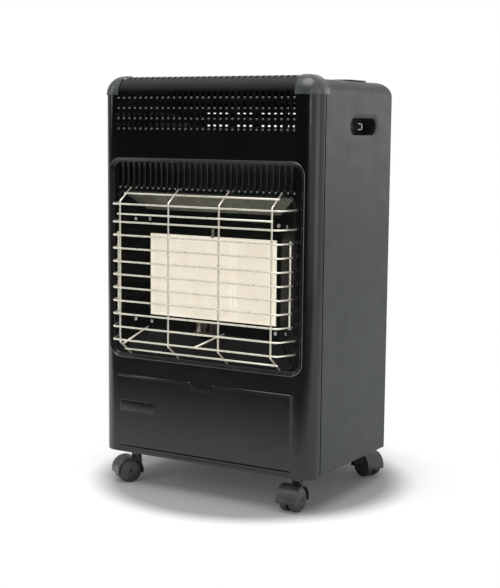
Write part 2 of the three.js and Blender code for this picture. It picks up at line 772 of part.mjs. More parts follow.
// ---------------------------------------------------------------- burner
const plaqueGap = seat;
const plaquesWidth = plaqueCount * plaqueWidth + (plaqueCount - 1) * plaqueGap;
const plaqueX = (i) => (i - (plaqueCount - 1) / 2) * (plaqueWidth + plaqueGap);
const plaqueTopZ = plaqueZ + plaqueHeight / 2;
const plaqueBottomZ = plaqueZ - plaqueHeight / 2;
const frameX = plaquesWidth / 2 + frameMarginX;
const frameTopZ = plaqueTopZ + frameMarginTop;
const frameBottomZ = plaqueBottomZ - frameMarginBottom;

function makePlaque(i) {
  const x = plaqueX(i);
  return box(x - plaqueWidth / 2, x + plaqueWidth / 2, plaqueY, plaqueY + plaqueThickness,
    plaqueBottomZ, plaqueTopZ);
}

// The plate that the burners hang on, with a folded lip round the plaques.
function makeBurnerFrame() {
  const plate = box(-frameX, frameX, frameY, frameY + sheet, frameBottomZ, frameTopZ);
  const w = plaquesWidth / 2 + seat;
  const lipBack = plaqueY + plaqueThickness;
  const lip = box(-w - sheet, w + sheet, frameY, lipBack,
    plaqueBottomZ - seat - sheet, plaqueTopZ + seat + sheet);
  const window = box(-w, w, frameY - 1, lipBack + 1, plaqueBottomZ - seat, plaqueTopZ + seat);
  return cut(join(plate, lip), window);
}

// A pressed box behind each plaque, with its mixing tube underneath.
function makeBurnerBody(i) {
  const x = plaqueX(i);
  const w = plaqueWidth / 2;
  const shell = box(x - w, x + w, burnerY, burnerBackY, plaqueBottomZ, plaqueTopZ);
  const hollow = box(x - w + burnerWall, x + w - burnerWall, burnerY - 1,
    burnerBackY - burnerWall, plaqueBottomZ + burnerWall, plaqueTopZ - burnerWall);
  const y = (burnerY + burnerBackY) / 2;
  const profile = [
    [0, 0], [venturiRadius + 4, 0], [venturiRadius + 4, 4], [venturiRadius, 12],
    [venturiRadius, venturiLength + 1], [0, venturiLength + 1],
  ];
  const tube = lathe(profile, 12, false).rotate([90, 0, 0])
    .translate([x, y, plaqueBottomZ - venturiLength]);
  const bore = post(x, y, venturiRadius - burnerWall, plaqueBottomZ - far,
    plaqueBottomZ + burnerWall + 1, 12);
  return cut(join(cut(shell, hollow), tube), bore);
}

const railZ = plaqueBottomZ - venturiLength - railDrop;
const railY = (burnerY + burnerBackY) / 2;

// The gas rail under the mixing tubes, with an injector in the mouth of each.
function makeRail() {
  const end = plaqueX(plaqueCount - 1) + plaqueWidth / 2;
  const jetZ = railZ + injectorHeight;
  let body = wire([v(-end, railY, railZ), v(end, railY, railZ)], railRadius, 12);
  for (let i = 0; i < plaqueCount; i++) {
    const x = plaqueX(i);
    body = join(
      body,
      post(x, railY, injectorRadius, railZ, jetZ, 6),
      post(x, railY, venturiRadius - burnerWall - seat, jetZ - 1, jetZ + jetHeight, 12),
    );
  }
  for (const side of [-1, 1]) {
    const x = side * (end - earWidth / 2 - 2);
    const [x0, x1] = [x - earWidth / 2, x + earWidth / 2];
    const [y0, y1] = [shieldY - seat - earThickness, shieldY - seat];
    const ear = box(x0, x1, railY, y1, railZ - earThickness / 2, railZ + earThickness / 2);
    const foot = box(x0, x1, y0, y1, railZ - earHeight / 2, railZ + earHeight / 2);
    body = join(body, ear, foot);
  }
  return body;
}

// ---------------------------------------------------------------- reflectors
// Four sheets between the aperture's edge and the burner frame.
const wingOuter = {
  x: apertureWidth / 2 + 1, low: apertureBottomZ - 1, high: apertureTopZ + 1,
  y: surroundY + sheet + seat,
};
const wingInner = { x: frameX - 2, low: frameBottomZ + 2, high: frameTopZ - 2, y: frameY - seat };

function wing(outerA, outerB, innerA, innerB, outward) {
  const shift = outward.clone().multiplyScalar(sheet);
  const points = [outerA, outerB, innerA, innerB];
  return toSolid(new ConvexGeometry([...points, ...points.map((p) => p.clone().add(shift))]));
}

function makeWings() {
  const mitre = 1.2;
  const [o, n] = [wingOuter, wingInner];
  const top = wing(
    v(-o.x + mitre, o.y, o.high), v(o.x - mitre, o.y, o.high),
    v(-n.x + mitre, n.y, n.high), v(n.x - mitre, n.y, n.high), v(0, 0, 1),
  );
  const bottom = wing(
    v(-o.x + mitre, o.y, o.low), v(o.x - mitre, o.y, o.low),
    v(-n.x + mitre, n.y, n.low), v(n.x - mitre, n.y, n.low), v(0, 0, -1),
  );
  const right = wing(
    v(o.x, o.y, o.low + mitre), v(o.x, o.y, o.high - mitre),
    v(n.x, n.y, n.low + mitre), v(n.x, n.y, n.high - mitre), v(1, 0, 0),
  );
  return { top, bottom, right, left: mirrorX(right) };
}

// ---------------------------------------------------------------- pilot
const pilotFoot = {
  x0: pilotX - pilotReach, x1: pilotX + pilotReach, z0: frameBottomZ + 3, z1: plaqueBottomZ - 4,
};

function makePilotBracket() {
  const { x0, x1, z0, z1 } = pilotFoot;
  const y = frameY - seat;
  const back = box(x0, x1, y - 1.5, y, z0, z1);
  const shelf = box(x0, x1, y - pilotShelf, y, z0, z0 + 1.5);
  const holes = [-pilotPitch, 0, pilotPitch].map((dx) => (
    post(pilotX + dx, y - pilotSetback, 3.4, 0, far, 10)
  ));
  return cut(join(back, shelf), ...holes);
}

function pilotPiece(dx, radius, low, high, tip) {
  const y = frameY - seat - pilotSetback;
  const z = pilotFoot.z0 + 1.5 + seat;
  const collar = post(pilotX + dx, y, radius + 1.6, z, z + 4, 10);
  const rod = post(pilotX + dx, y, radius, z - low, z + high, 10);
  return tip ? join(collar, rod, tip(pilotX + dx, y, z + high)) : join(collar, rod);
}

const makePilotBurner = () => pilotPiece(0, 2.8, 7, 12, (x, y, z) => join(
  post(x, y, 4.4, z - 4, z + 4, 10),
  box(x - 4, x + 4, y - 1, y + 5.5, z + 3, z + 4.5),
));
const makeElectrode = () => pilotPiece(-pilotPitch, 2.6, 7, 9, (x, y, z) => (
  wire(rounded([v(x, y, z - 2), v(x, y, z + 6), v(x + 7, y, z + 10)], 3, 2), 0.8, 6)
));
const makeThermocouple = () => pilotPiece(pilotPitch, 2, 8, 10, (x, y, z) => (
  post(x, y, 1.4, z - 1, z + 8, 8)
));

// ---------------------------------------------------------------- wire guard
const guardY = frontY - guardStandoff;
const guardRearY = guardY + wireDiameter - weldDepth;        // columns, behind the rows
const footY = surroundY - seat;                              // the wires' ends, cut flush
const routeEndY = footY + wireDiameter;
const outerColumnX = ((guardColumns - 1) / 2) * guardColumnPitch;
const topBendZ = apertureTopZ - guardTopBend;
const bottomBendZ = apertureBottomZ + guardBottomBend;
const firstRowZ = apertureTopZ - guardTopRow;
const rowZ = (i) => firstRowZ - i * guardRowPitch;

function makeGuard() {
  const radius = wireDiameter / 2;
  const footTopZ = apertureTopZ + guardTopFoot;
  const footBottomZ = apertureBottomZ - guardBottomFoot;
  let body = null;
  for (let i = 0; i < guardColumns; i++) {
    const x = -outerColumnX + i * guardColumnPitch;
    const route = [
      v(x, routeEndY, footTopZ), v(x, guardRearY, topBendZ),
      v(x, guardRearY, bottomBendZ), v(x, routeEndY, footBottomZ),
    ];
    const column = wire(rounded(route, columnBend), radius);
    body = body ? join(body, column) : column;
  }
  const long = (z, endX, endY) => {
    const x = guardWidth / 2;
    const route = [v(-endX, endY, z), v(-x, guardY, z), v(x, guardY, z), v(endX, endY, z)];
    return wire(rounded(route, bendRadius), radius);
  };
  const footX = guardWidth / 2 + guardFlare;
  const postShare = 0.78;
  const postX = guardWidth / 2 + guardFlare * postShare;
  const postY = guardY + (footY - guardY) * postShare;
  const past = 1.8;
  body = join(body, long(topBendZ - columnBend, footX, routeEndY));
  for (let i = 0; i < guardRows; i++) {
    const toFoot = i === 0 || i >= guardRows - 2;
    const [endX, endY] = toFoot ? [footX, routeEndY] : [postX, postY + past];
    body = join(body, long(rowZ(i), endX, endY));
  }
  const inner = postX - wireDiameter + weldDepth;
  for (const side of [-1, 1]) {
    const tie = [v(side * inner, postY, rowZ(1) + 3), v(side * inner, postY, rowZ(guardRows - 3) - 3)];
    body = join(body, wire(tie, radius));
  }
  const short = outerColumnX + guardShortOverhang;
  const slope = (z, bendZ, endZ) => guardY + ((z - bendZ) / (endZ - bendZ)) * (routeEndY - guardRearY);
  const lift = wireDiameter * 0.3;
  const upperZ = (topBendZ + footTopZ) / 2 + 1;
  const lowerZ = (bottomBendZ + footBottomZ) / 2 - 2;
  const shorts = [
    [firstRowZ + guardShortDrop, guardY],
    [upperZ + lift, slope(upperZ, topBendZ, footTopZ)],
    [lowerZ - lift, slope(lowerZ, bottomBendZ, footBottomZ)],
  ];
  for (const [z, y] of shorts) body = join(body, wire([v(-short, y, z), v(short, y, z)], radius));
  body = cut(body, box(-far, far, footY, far, 0, far));
  for (const stay of guardStays(radius)) body = join(body, stay);
  return body;
}

// Two stays from the lower wires to the burner frame's lower edge.
function guardStays(radius) {
  const y = frameY - seat - radius;
  const z = frameBottomZ + 4;
  const lowRow = rowZ(guardRows - 1);
  const left = wire([v(-outerColumnX + 1, guardRearY + 8, lowRow - 8), v(-frameX + 5, y, z)], radius);
  const weldY = guardY + radius - weldDepth;
  const middle = wire([v(stayStart, weldY, lowRow), v(stayEnd, y, z)], radius);
  return [left, middle];
}

// ---------------------------------------------------------------- controls
const trayFloorZ = wrapTopZ - trayDepth;
const knobX = trayCentreX + knobOffset;
const buttonX = trayCentreX + buttonOffset;
const valveTopZ = trayFloorZ - trayWall - seat;

function makeTray() {
  const top = wrapTopZ + seat + trayWall;
  const rim = alongZ(trayOutline(trayRim, trayRadius + trayRim), wrapTopZ + seat, top, 3);
  const outside = alongZ(trayOutline(0, trayRadius), trayFloorZ - trayWall, top, 3);
  const inside = alongZ(trayOutline(-trayWall, trayRadius - trayWall), trayFloorZ, top + 1, 3);
  return cut(
    join(rim, outside), inside,
    post(knobX, trayY, spindleRadius + 1, 0, far, 16),
    post(buttonX, trayY, buttonRadius + runningGap, 0, far, 16),
  );
}

function makeValve() {
  const [w, d] = [valveWidth / 2, valveLength / 2];
  const block = box(knobX - w, knobX + w, trayY - d, trayY + d, valveTopZ - valveHeight, valveTopZ);
  const outlet = wire([
    v(knobX, trayY - d + 1, valveTopZ - valveHeight / 2),
    v(knobX, trayY - d - 10, valveTopZ - valveHeight / 2),
  ], 7, 6);
  return cut(join(block, outlet), post(knobX, trayY, spindleRadius + runningGap,
    valveTopZ - valveHeight * 0.6, far, 16));
}

// The barbed inlet that the hose pushes onto, at the back of the valve.
function makeHoseTail() {
  const z = valveTopZ - valveHeight / 2;
  const profile = [[0, 0], [8, 0], [8, 7]];
  const barbs = 3;
  const pitch = (hoseTailLength - 9) / barbs;
  for (let i = 0; i < barbs; i++) {
    profile.push([4, 9 + i * pitch], [5.4, 9 + i * pitch + 1.2], [4, 9 + (i + 1) * pitch]);
  }
  profile.push([0, hoseTailLength]);
  const solid = lathe(profile, 12, false);
  const bore = post(0, 0, 2.2, 3, hoseTailLength + 5, 8).rotate([-90, 0, 0]);
  return cut(solid, bore).translate([knobX, trayY + valveLength / 2 + seat, z]);
}

// From the valve over the heat shield and down to the rail.
function makeGasPipe() {
  const startY = trayY - valveLength / 2 - 10 - seat;
  const z = valveTopZ - valveHeight / 2;
  const x = plaqueX(plaqueCount - 1) + plaqueWidth / 2 + seat;
  const dropX = x + pipeOffset;
  const route = [
    v(knobX, startY, z), v(knobX, railY, z), v(dropX, railY, z - pipeFall),
    v(dropX, railY, railZ), v(x, railY, railZ),
  ];
  return wire(rounded(route, pipeBend, 3), pipeRadius, 8);
}

function makeSpindle() {
  const low = valveTopZ - valveHeight * 0.5;
  return post(knobX, trayY, spindleRadius, low, trayFloorZ + knobLift + knobHeight * 0.6, 16);
}

function makeKnob() {
  const foot = trayFloorZ + knobLift;
  const outline = new THREE.Shape();
  const flute = 1.1;
  const steps = knobFlutes * 2;
  const points = Array.from({ length: steps }, (_, i) => {
    const angle = (i * 2 * Math.PI) / steps;
    const reach = knobRadius - flute * (1 + Math.cos(angle * knobFlutes)) / 2;
    return new THREE.Vector2(knobX + reach * Math.cos(angle), trayY + reach * Math.sin(angle));
  });
  outline.setFromPoints(points);
  const skirt = post(knobX, trayY, knobRadius + 2, foot, foot + 3, 32);
  const grip = alongZ(outline, foot + 2, foot + knobHeight);
  const pointer = box(knobX - 1.5, knobX + 1.5, trayY + 4, trayY + knobRadius - 3,
    foot + knobHeight - 1, foot + knobHeight + 1);
  const bore = post(knobX, trayY, spindleRadius + seat, foot - 1, foot + knobHeight * 0.6 + seat, 16);
  return cut(join(skirt, grip, pointer), bore);
}

function makeIgniter() {
  const top = trayFloorZ - trayWall - seat;
  const barrel = post(buttonX, trayY, igniterRadius, top - igniterHeight, top, 16);
  const nut = post(buttonX, trayY, igniterRadius + 3, top - 5, top, 6);
  const terminal = box(buttonX - 3, buttonX + 3, trayY - 0.5, trayY + 0.5,
    top - igniterHeight - 8, top - igniterHeight + 1);
  const bore = post(buttonX, trayY, buttonRadius + runningGap,
    top - buttonTravel - 8, top + 1, 16);
  return cut(join(barrel, nut, terminal), bore);
}

function makeButton() {
  const top = trayFloorZ + buttonHeight;
  const low = trayFloorZ - trayWall - seat - 7;
  return lathe([
    [0, low], [buttonRadius, low], [buttonRadius, top - 2], [buttonRadius - 2, top], [0, top],
  ], 16, false).rotate([90, 0, 0]).translate([buttonX, trayY, 0]);
}

// ---------------------------------------------------------------- castors
// Each castor is built at the swivel axis, its axle along Y and its wheels behind, at -X.
const axleX = -castorTrail;
const hoodRadius = wheelRadius + wheelGap + hoodWall;
const castorWidth = webThickness + 2 * (wheelWidth + runningGap);

function acrossY(radius, y0, y1, sides = 24) {
  const geometry = new THREE.CylinderGeometry(radius, radius, y1 - y0, sides);
  geometry.rotateY(Math.PI / sides);
  return toSolid(geometry.translate(axleX, (y0 + y1) / 2, wheelRadius));
}

function makeHood() {
  const half = castorWidth / 2;
  const round = acrossY(hoodRadius, -half, half, 20);
  const upper = box(axleX - far, axleX + far, -far, far, wheelRadius - hoodCut, far);
  const neck = post(0, 0, neckRadius, wheelRadius + neckFoot, neckTop, 16);
  let body = join(round.intersect(upper), neck);
  const web = webThickness / 2;
  for (const side of [-1, 1]) {
    const [y0, y1] = side > 0 ? [web, far] : [-far, -web];
    body = cut(body, acrossY(wheelRadius + wheelGap, y0, y1, 20));
  }
  return cut(
    body,
    acrossY(axleRadius + seat + 0.1, -far, far, 12),
    post(0, 0, stemRadius + seat + 0.1, neckTop - stemDepth - 1, far, 16),
  );
}

function makeWheel(side) {
  const inner = webThickness / 2 + runningGap;
  const rim = wheelRadius / Math.cos(Math.PI / wheelFacets);
  const bore = axleRadius + seat + 0.1;
  const hub = 7;
  const profile = [
    [bore, inner], [bore, inner + wheelWidth], [hub, inner + wheelWidth],
    [rim - 4, inner + wheelWidth - 1.5], [rim, inner + wheelWidth - 5], [rim, inner],
  ];
  const wheel = lathe(profile, wheelFacets).rotate([0, 180 / wheelFacets, 0]);
  const turned = wheel.translate([axleX, 0, wheelRadius]);
  return side > 0 ? turned : turned.mirror([0, 1, 0]);
}

function makeAxle() {
  const half = webThickness / 2 + runningGap + wheelWidth - 0.5;
  return acrossY(axleRadius, -half, half, 12);
}

function makeStem() {
  const stem = post(0, 0, stemRadius, neckTop - stemDepth, stemTopZ, 16);
  const collar = post(0, 0, stemRadius + 3.4, neckTop + seat, neckTop + 3, 16);
  return join(stem, collar);
}

// ---------------------------------------------------------------- assembly
const finishes = {
  gloss: { color: 0x0c0e0d, roughness: 0.18, metalness: 0.1 },
  satin: { color: 0x2b3030, roughness: 0.45, metalness: 0.2 },
  steel: { color: 0x8d8f8c, roughness: 0.4, metalness: 0.9 },
  nickel: { color: 0xd9d3c0, roughness: 0.25, metalness: 0.9 },
  greyPlastic: { color: 0x5d605f, roughness: 0.4, metalness: 0 },
  blackPlastic: { color: 0x141414, roughness: 0.5, metalness: 0 },
  wheel: { color: 0x2e2e30, roughness: 0.55, metalness: 0 },
  ceramic: { color: 0xf2ead8, roughness: 0.9, metalness: 0 },
  brass: { color: 0xb08d4c, roughness: 0.35, metalness: 0.9 },
  bare: { color: 0x6f7064, roughness: 0.35, metalness: 0.8 },
};

const heater = new THREE.Group();
heater.name = 'gas_cabinet_heater';

function add(name, solid, finish, parent = heater) {
  const material = new THREE.MeshStandardMaterial(finishes[finish]);
  const mesh = new THREE.Mesh(toGeometry(solid), material);
  mesh.name = name;
  parent.add(mesh);
}

add('fascia', makeFascia(), 'gloss');
add('burner_surround', makeSurround(), 'gloss');
add('cabinet_wrap', makeWrap(), 'satin');
add('base_tray', makeBase(), 'satin');
add('rear_cover', makeRearCover(), 'satin');
add('rear_upper_panel', makeRearPanel(), 'satin');
add('heat_shield', makeShield(), 'steel');
for (const [side, name] of both) {
  add(`corner_cap_${name}`, side > 0 ? makeCap() : mirrorX(makeCap()), 'greyPlastic');
  add(`handle_cup_${name}`, side > 0 ? makeCup() : mirrorX(makeCup()), 'blackPlastic');
}

const places = ['left', 'centre', 'right'];
for (let i = 0; i < plaqueCount; i++) {
  const place = places[i] ?? `extra_${i}`;
  add(`ceramic_plaque_${place}`, makePlaque(i), 'ceramic');
  add(`burner_body_${place}`, makeBurnerBody(i), 'steel');
}
add('burner_frame', makeBurnerFrame(), 'gloss');
for (const [name, solid] of Object.entries(makeWings())) add(`reflector_${name}`, solid, 'bare');
add('injector_rail', makeRail(), 'brass');
add('gas_pipe', makeGasPipe(), 'steel');
add('pilot_bracket', makePilotBracket(), 'bare');
add('pilot_burner', makePilotBurner(), 'brass');
add('spark_electrode', makeElectrode(), 'ceramic');
add('thermocouple', makeThermocouple(), 'brass');
add('wire_guard', makeGuard(), 'nickel');

add('control_tray', makeTray(), 'blackPlastic');
add('gas_valve', makeValve(), 'brass');
add('hose_tail', makeHoseTail(), 'brass');
add('valve_spindle', makeSpindle(), 'steel');
add('control_knob', makeKnob(), 'blackPlastic');
add('igniter_body', makeIgniter(), 'blackPlastic');
add('igniter_button', makeButton(), 'greyPlastic');

for (const [place, [x, y]] of Object.entries(castors)) {
  const castor = new THREE.Group();
  castor.position.set(x, y, 0);
  castor.rotation.z = (castorHeadings[place] * Math.PI) / 180;
  heater.add(castor);
  add(`castor_stem_${place}`, makeStem(), 'steel', castor);
  add(`castor_hood_${place}`, makeHood(), 'wheel', castor);
  add(`castor_axle_${place}`, makeAxle(), 'steel', castor);
  add(`castor_wheel_${place}_inner`, makeWheel(-1), 'wheel', castor);
  add(`castor_wheel_${place}_outer`, makeWheel(1), 'wheel', castor);
}

export default heater;
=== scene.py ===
# Portable gas cabinet heater, dressed for rendering: metres, +Z up, the front facing -Y.
import math

import bmesh
import bpy
from bpy.props import FloatProperty, FloatVectorProperty, IntProperty, PointerProperty
from mathutils import Matrix, Vector


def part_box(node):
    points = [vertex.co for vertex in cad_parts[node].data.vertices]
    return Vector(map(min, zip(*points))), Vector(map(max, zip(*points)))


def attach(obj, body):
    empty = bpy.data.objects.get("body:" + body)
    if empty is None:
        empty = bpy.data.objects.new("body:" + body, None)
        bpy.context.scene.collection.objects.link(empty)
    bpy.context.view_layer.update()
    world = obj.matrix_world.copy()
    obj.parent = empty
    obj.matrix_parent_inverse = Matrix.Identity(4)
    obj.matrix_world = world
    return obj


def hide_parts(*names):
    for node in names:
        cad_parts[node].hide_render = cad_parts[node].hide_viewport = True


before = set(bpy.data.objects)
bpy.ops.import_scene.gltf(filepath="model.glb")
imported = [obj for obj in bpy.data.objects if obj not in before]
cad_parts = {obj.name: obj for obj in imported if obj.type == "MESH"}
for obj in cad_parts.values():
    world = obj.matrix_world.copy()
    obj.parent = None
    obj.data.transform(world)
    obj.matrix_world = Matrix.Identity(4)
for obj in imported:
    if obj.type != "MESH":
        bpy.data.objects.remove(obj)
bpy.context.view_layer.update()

bl_info = {
    "name": "Gas cabinet heater",
    "version": (1, 0, 0),
    "blender": (4, 5, 0),
    "location": "3D View > Sidebar > Heater",
    "description": "Builds a portable gas cabinet heater over its packed frame",
    "category": "Add Mesh",
}

MM = 0.001


# ------------------------ places from the frame
def node_box(node):
    low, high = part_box(node)
    return Vector(low), Vector(high)


FASCIA_LOW, FASCIA_HIGH = node_box("fascia")
FRONT = FASCIA_LOW.y + 4 * MM                 # front face, behind the raised panel's
DECK = FASCIA_HIGH.z                          # top of the fascia
SURROUND_LOW, SURROUND_HIGH = node_box("burner_surround")
SURROUND_FRONT = SURROUND_LOW.y
RECESS_X = SURROUND_HIGH.x + 1 * MM           # rim of the rolled opening
RECESS_BOTTOM = SURROUND_LOW.z - 1 * MM
RECESS_TOP = SURROUND_HIGH.z + 1 * MM
FRAME_LOW = node_box("burner_frame")[0]
REFLECTOR_LOW, REFLECTOR_HIGH = (corner.z for corner in node_box("reflector_left"))
COLUMNS = 31                                  # of slots, in the grille and the surround
COLUMN_PITCH = 11.4 * MM
FIRST_COLUMN = -(COLUMNS - 1) / 2 * COLUMN_PITCH
GRILLE_DROP = 26.2 * MM                       # deck to the top of the first row of slots
SLOT_HEIGHT = 8.5 * MM                        # of a slot of the grille
COMB_DROP = 6 * MM                            # opening to the top of the long slots
COMB_LENGTH = 42 * MM                         # of the long slots
PANEL_DROP = 29.7 * MM                        # opening to the raised panel
PANEL_RISE = 4 * MM                           # of the panel's face over the fascia's
PLACES = ("front_left", "front_right", "rear_left", "rear_right")


# ------------------------ sizes and colours
class HeaterGrille(bpy.types.PropertyGroup):
    lip_reach: FloatProperty(
        name="Lip reach", description="How far a pressed lip stands out under its slot",
        default=1.7 * MM, min=0.0, unit="LENGTH")
    lip_width: FloatProperty(
        name="Lip width", description="Width of a pressed lip",
        default=4.8 * MM, min=0.0, unit="LENGTH")
    lip_height: FloatProperty(
        name="Lip height", description="Height of a pressed lip",
        default=3.8 * MM, min=0.0, unit="LENGTH")
    bead: FloatProperty(
        name="Bead", description="Radius of the beads pressed round the opening",
        default=0.9 * MM, min=0.0, unit="LENGTH")
    rows: IntProperty(
        name="Rows", description="Rows of slots in the upper grille", default=4, min=1)
    row_pitch: FloatProperty(
        name="Row pitch", description="Distance from one row of slots to the next",
        default=17.15 * MM, unit="LENGTH")
    rib_height: FloatProperty(
        name="Rib height", description="Crown of the ribs between the long slots",
        default=2.3 * MM, min=0.0, unit="LENGTH")


class HeaterGuard(bpy.types.PropertyGroup):
    wire: FloatProperty(
        name="Wire", description="Diameter of the guard's wire",
        default=3.2 * MM, min=0.0005, unit="LENGTH")
    bend: FloatProperty(
        name="Bend", description="Radius of the bends in the long wires",
        default=9 * MM, min=0.0, unit="LENGTH")


class HeaterPlaques(bpy.types.PropertyGroup):
    port: FloatProperty(
        name="Port", description="Diameter of a burner port",
        default=1.9 * MM, min=0.0, unit="LENGTH")
    pitch: FloatProperty(
        name="Pitch", description="Distance between burner ports in a row",
        default=3.7 * MM, min=0.001, unit="LENGTH")


class HeaterPaint(bpy.types.PropertyGroup):
    gloss: FloatVectorProperty(
        name="Gloss enamel", description="Colour of the fascia and the burner surround",
        default=(0.0016, 0.0022, 0.0018), min=0.0, max=1.0, subtype="COLOR")
    satin: FloatVectorProperty(
        name="Satin paint", description="Colour of the sides, the top and the back",
        default=(0.013, 0.0185, 0.0175), min=0.0, max=1.0, subtype="COLOR")
    cap: FloatVectorProperty(
        name="Corner caps", description="Colour of the moulded corner caps",
        default=(0.032, 0.036, 0.037), min=0.0, max=1.0, subtype="COLOR")
    ceramic: FloatVectorProperty(
        name="Ceramic", description="Colour of the burner plaques",
        default=(0.9, 0.83, 0.71), min=0.0, max=1.0, subtype="COLOR")
    wire: FloatVectorProperty(
        name="Nickel wire", description="Colour of the plated wire guard",
        default=(0.9, 0.86, 0.75), min=0.0, max=1.0, subtype="COLOR")


class HeaterStage(bpy.types.PropertyGroup):
    lens: FloatProperty(
        name="Lens", description="Focal length of the camera on a 36 mm sensor, in millimetres",
        default=79.70, min=1.0)
    daylight: FloatProperty(
        name="Daylight", description="Strength of the soft daylight from above",
        default=2.3, min=0.0)
    room: FloatProperty(
        name="Room", description="Strength of the backdrop's and the room's own light",
        default=0.8, min=0.0)
    fill: FloatProperty(
        name="Fill", description="Power of the broad window ahead, in watts",
        default=36.0, min=0.0)


# ------------------------ shader groups
def feed(tree, socket, item):
    """Sets a socket to a number or a colour, or links another node's output to it."""
    if isinstance(item, bpy.types.NodeSocket):
        tree.links.new(item, socket)
    elif isinstance(item, (int, float)):
        socket.default_value = item
    else:
        socket.default_value = (*item[:3], 1.0)


def new_node(tree, kind, inputs, **settings):
    """A node with its settings, and its inputs by name or place."""
    node = tree.nodes.new(kind)
    for label, value in settings.items():
        setattr(node, label, value)
    for socket, item in inputs.items():
        feed(tree, node.inputs[socket], item)
    return node


def math_node(tree, operation, *values):
    inputs = dict(enumerate(values))
    return new_node(tree, "ShaderNodeMath", inputs, operation=operation).outputs[0]


def noise_node(tree, vector, scale, detail=3.0, roughness=0.5):
    inputs = {"Vector": vector, "Scale": scale, "Detail": detail, "Roughness": roughness}
    return new_node(tree, "ShaderNodeTexNoise", inputs).outputs["Fac"]


def remap_node(tree, value, low, high, out_low, out_high):
    inputs = {"Value": value, "From Min": low, "From Max": high, "To Min": out_low,
              "To Max": out_high}
    return new_node(tree, "ShaderNodeMapRange", inputs, clamp=True).outputs["Result"]


def mix_colour(tree, factor, first, second):
    inputs = {0: factor, 6: first, 7: second}
    return new_node(tree, "ShaderNodeMix", inputs, data_type="RGBA").outputs[2]


def mix_shader(tree, factor, first, second):
    inputs = {0: factor, 1: first, 2: second}
    return new_node(tree, "ShaderNodeMixShader", inputs).outputs[0]


def new_group(name, inputs):
    """A shader group with the given inputs beside its vector and colour."""
    group = bpy.data.node_groups.new(name, "ShaderNodeTree")
    face = group.interface
    face.new_socket(name="Vector", in_out="INPUT", socket_type="NodeSocketVector")
    for label, value in {"Colour": (0, 0, 0, 1), **inputs}.items():
        kind = "NodeSocketFloat" if isinstance(value, float) else "NodeSocketColor"
        face.new_socket(name=label, in_out="INPUT", socket_type=kind).default_value = value
    for label, kind in (("Colour", "Color"), ("Roughness", "Float"), ("Height", "Float")):
        face.new_socket(name=label, in_out="OUTPUT", socket_type=f"NodeSocket{kind}")
    entry = group.nodes.new("NodeGroupInput")
    return group, entry.outputs


def finish_group(group, colour, roughness, height):
    leave = group.nodes.new("NodeGroupOutput")
    for socket, result in zip(leave.inputs, (colour, roughness, height)):
        feed(group, socket, result)
    return group


def make_enamel_group():
    """Sprayed paint: orange peel, faint dust and a slow drift of its tone."""
    group, entry = new_group("Sprayed paint", {"Roughness": 0.2, "Peel scale": 260.0, "Dust": 0.3})
    vector = entry["Vector"]
    drift = noise_node(group, vector, 7.0, 2.0)
    peel = noise_node(group, vector, entry["Peel scale"], 2.0)
    specks = noise_node(group, vector, 900.0, 1.0)
    smear = noise_node(group, vector, 24.0, 4.0, 0.6)
    speck = math_node(group, "MULTIPLY", remap_node(group, specks, 0.66, 0.78, 0.0, 1.0),
                      entry["Dust"])
    tone = remap_node(group, drift, 0.3, 0.7, 0.0, 0.12)
    lighter = mix_colour(group, tone, entry["Colour"], (0.016, 0.019, 0.018))
    dusty = mix_colour(group, math_node(group, "MULTIPLY", speck, 0.2), lighter,
                       (0.2, 0.2, 0.19))
    swing = remap_node(group, smear, 0.3, 0.75, -0.035, 0.06)
    rough = math_node(group, "ADD", entry["Roughness"], swing)
    rough = math_node(group, "ADD", rough, math_node(group, "MULTIPLY", speck, 0.3))
    return finish_group(group, dusty, rough, peel)


def make_metal_group():
    """Plated or rolled metal: fine scratches, a haze and a heat tint."""
    group, entry = new_group(
        "Worked metal", {"Tint": (0.4, 0.3, 0.2, 1), "Tinted": 0.3, "Roughness": 0.3})
    stretch = new_node(group, "ShaderNodeMapping", {"Vector": entry["Vector"]})
    stretch.inputs["Scale"].default_value = (1.0, 1.0, 0.08)
    scratches = noise_node(group, stretch.outputs["Vector"], 1400.0, 2.0)
    haze = noise_node(group, entry["Vector"], 45.0, 4.0, 0.6)
    tinted = math_node(group, "MULTIPLY", remap_node(group, haze, 0.35, 0.7, 0.0, 1.0),
                       entry["Tinted"])
    colour = mix_colour(group, tinted, entry["Colour"], entry["Tint"])
    swing = remap_node(group, haze, 0.3, 0.7, -0.06, 0.1)
    rough = math_node(group, "ADD", entry["Roughness"], swing)
    return finish_group(group, colour, rough, scratches)


def make_moulded_group():
    """Moulded plastic: spark-eroded grain, worn smoother where hands and floors rub it."""
    group, entry = new_group("Moulded plastic", {"Roughness": 0.45, "Grain scale": 1600.0})
    grain = new_node(group, "ShaderNodeTexVoronoi",
                     {"Vector": entry["Vector"], "Scale": entry["Grain scale"],
                      "Randomness": 1.0})
    rub = noise_node(group, entry["Vector"], 30.0, 3.0)
    light = mix_colour(group, remap_node(group, rub, 0.45, 0.8, 0.0, 0.4), entry["Colour"],
                       (0.11, 0.11, 0.105))
    swing = remap_node(group, rub, 0.3, 0.7, 0.06, -0.08)
    rough = math_node(group, "ADD", entry["Roughness"], swing)
    return finish_group(group, light, rough, grain.outputs["Distance"])


# ------------------------ materials
# Each group's maker, and its inputs in the order of the numbers in FINISHES.
MAKERS = {
    "paint": (make_enamel_group, ("Roughness", "Peel scale", "Dust")),
    "metal": (make_metal_group, ("Roughness", "Tinted", "Tint")),
    "plastic": (make_moulded_group, ("Roughness", "Grain scale")),
}
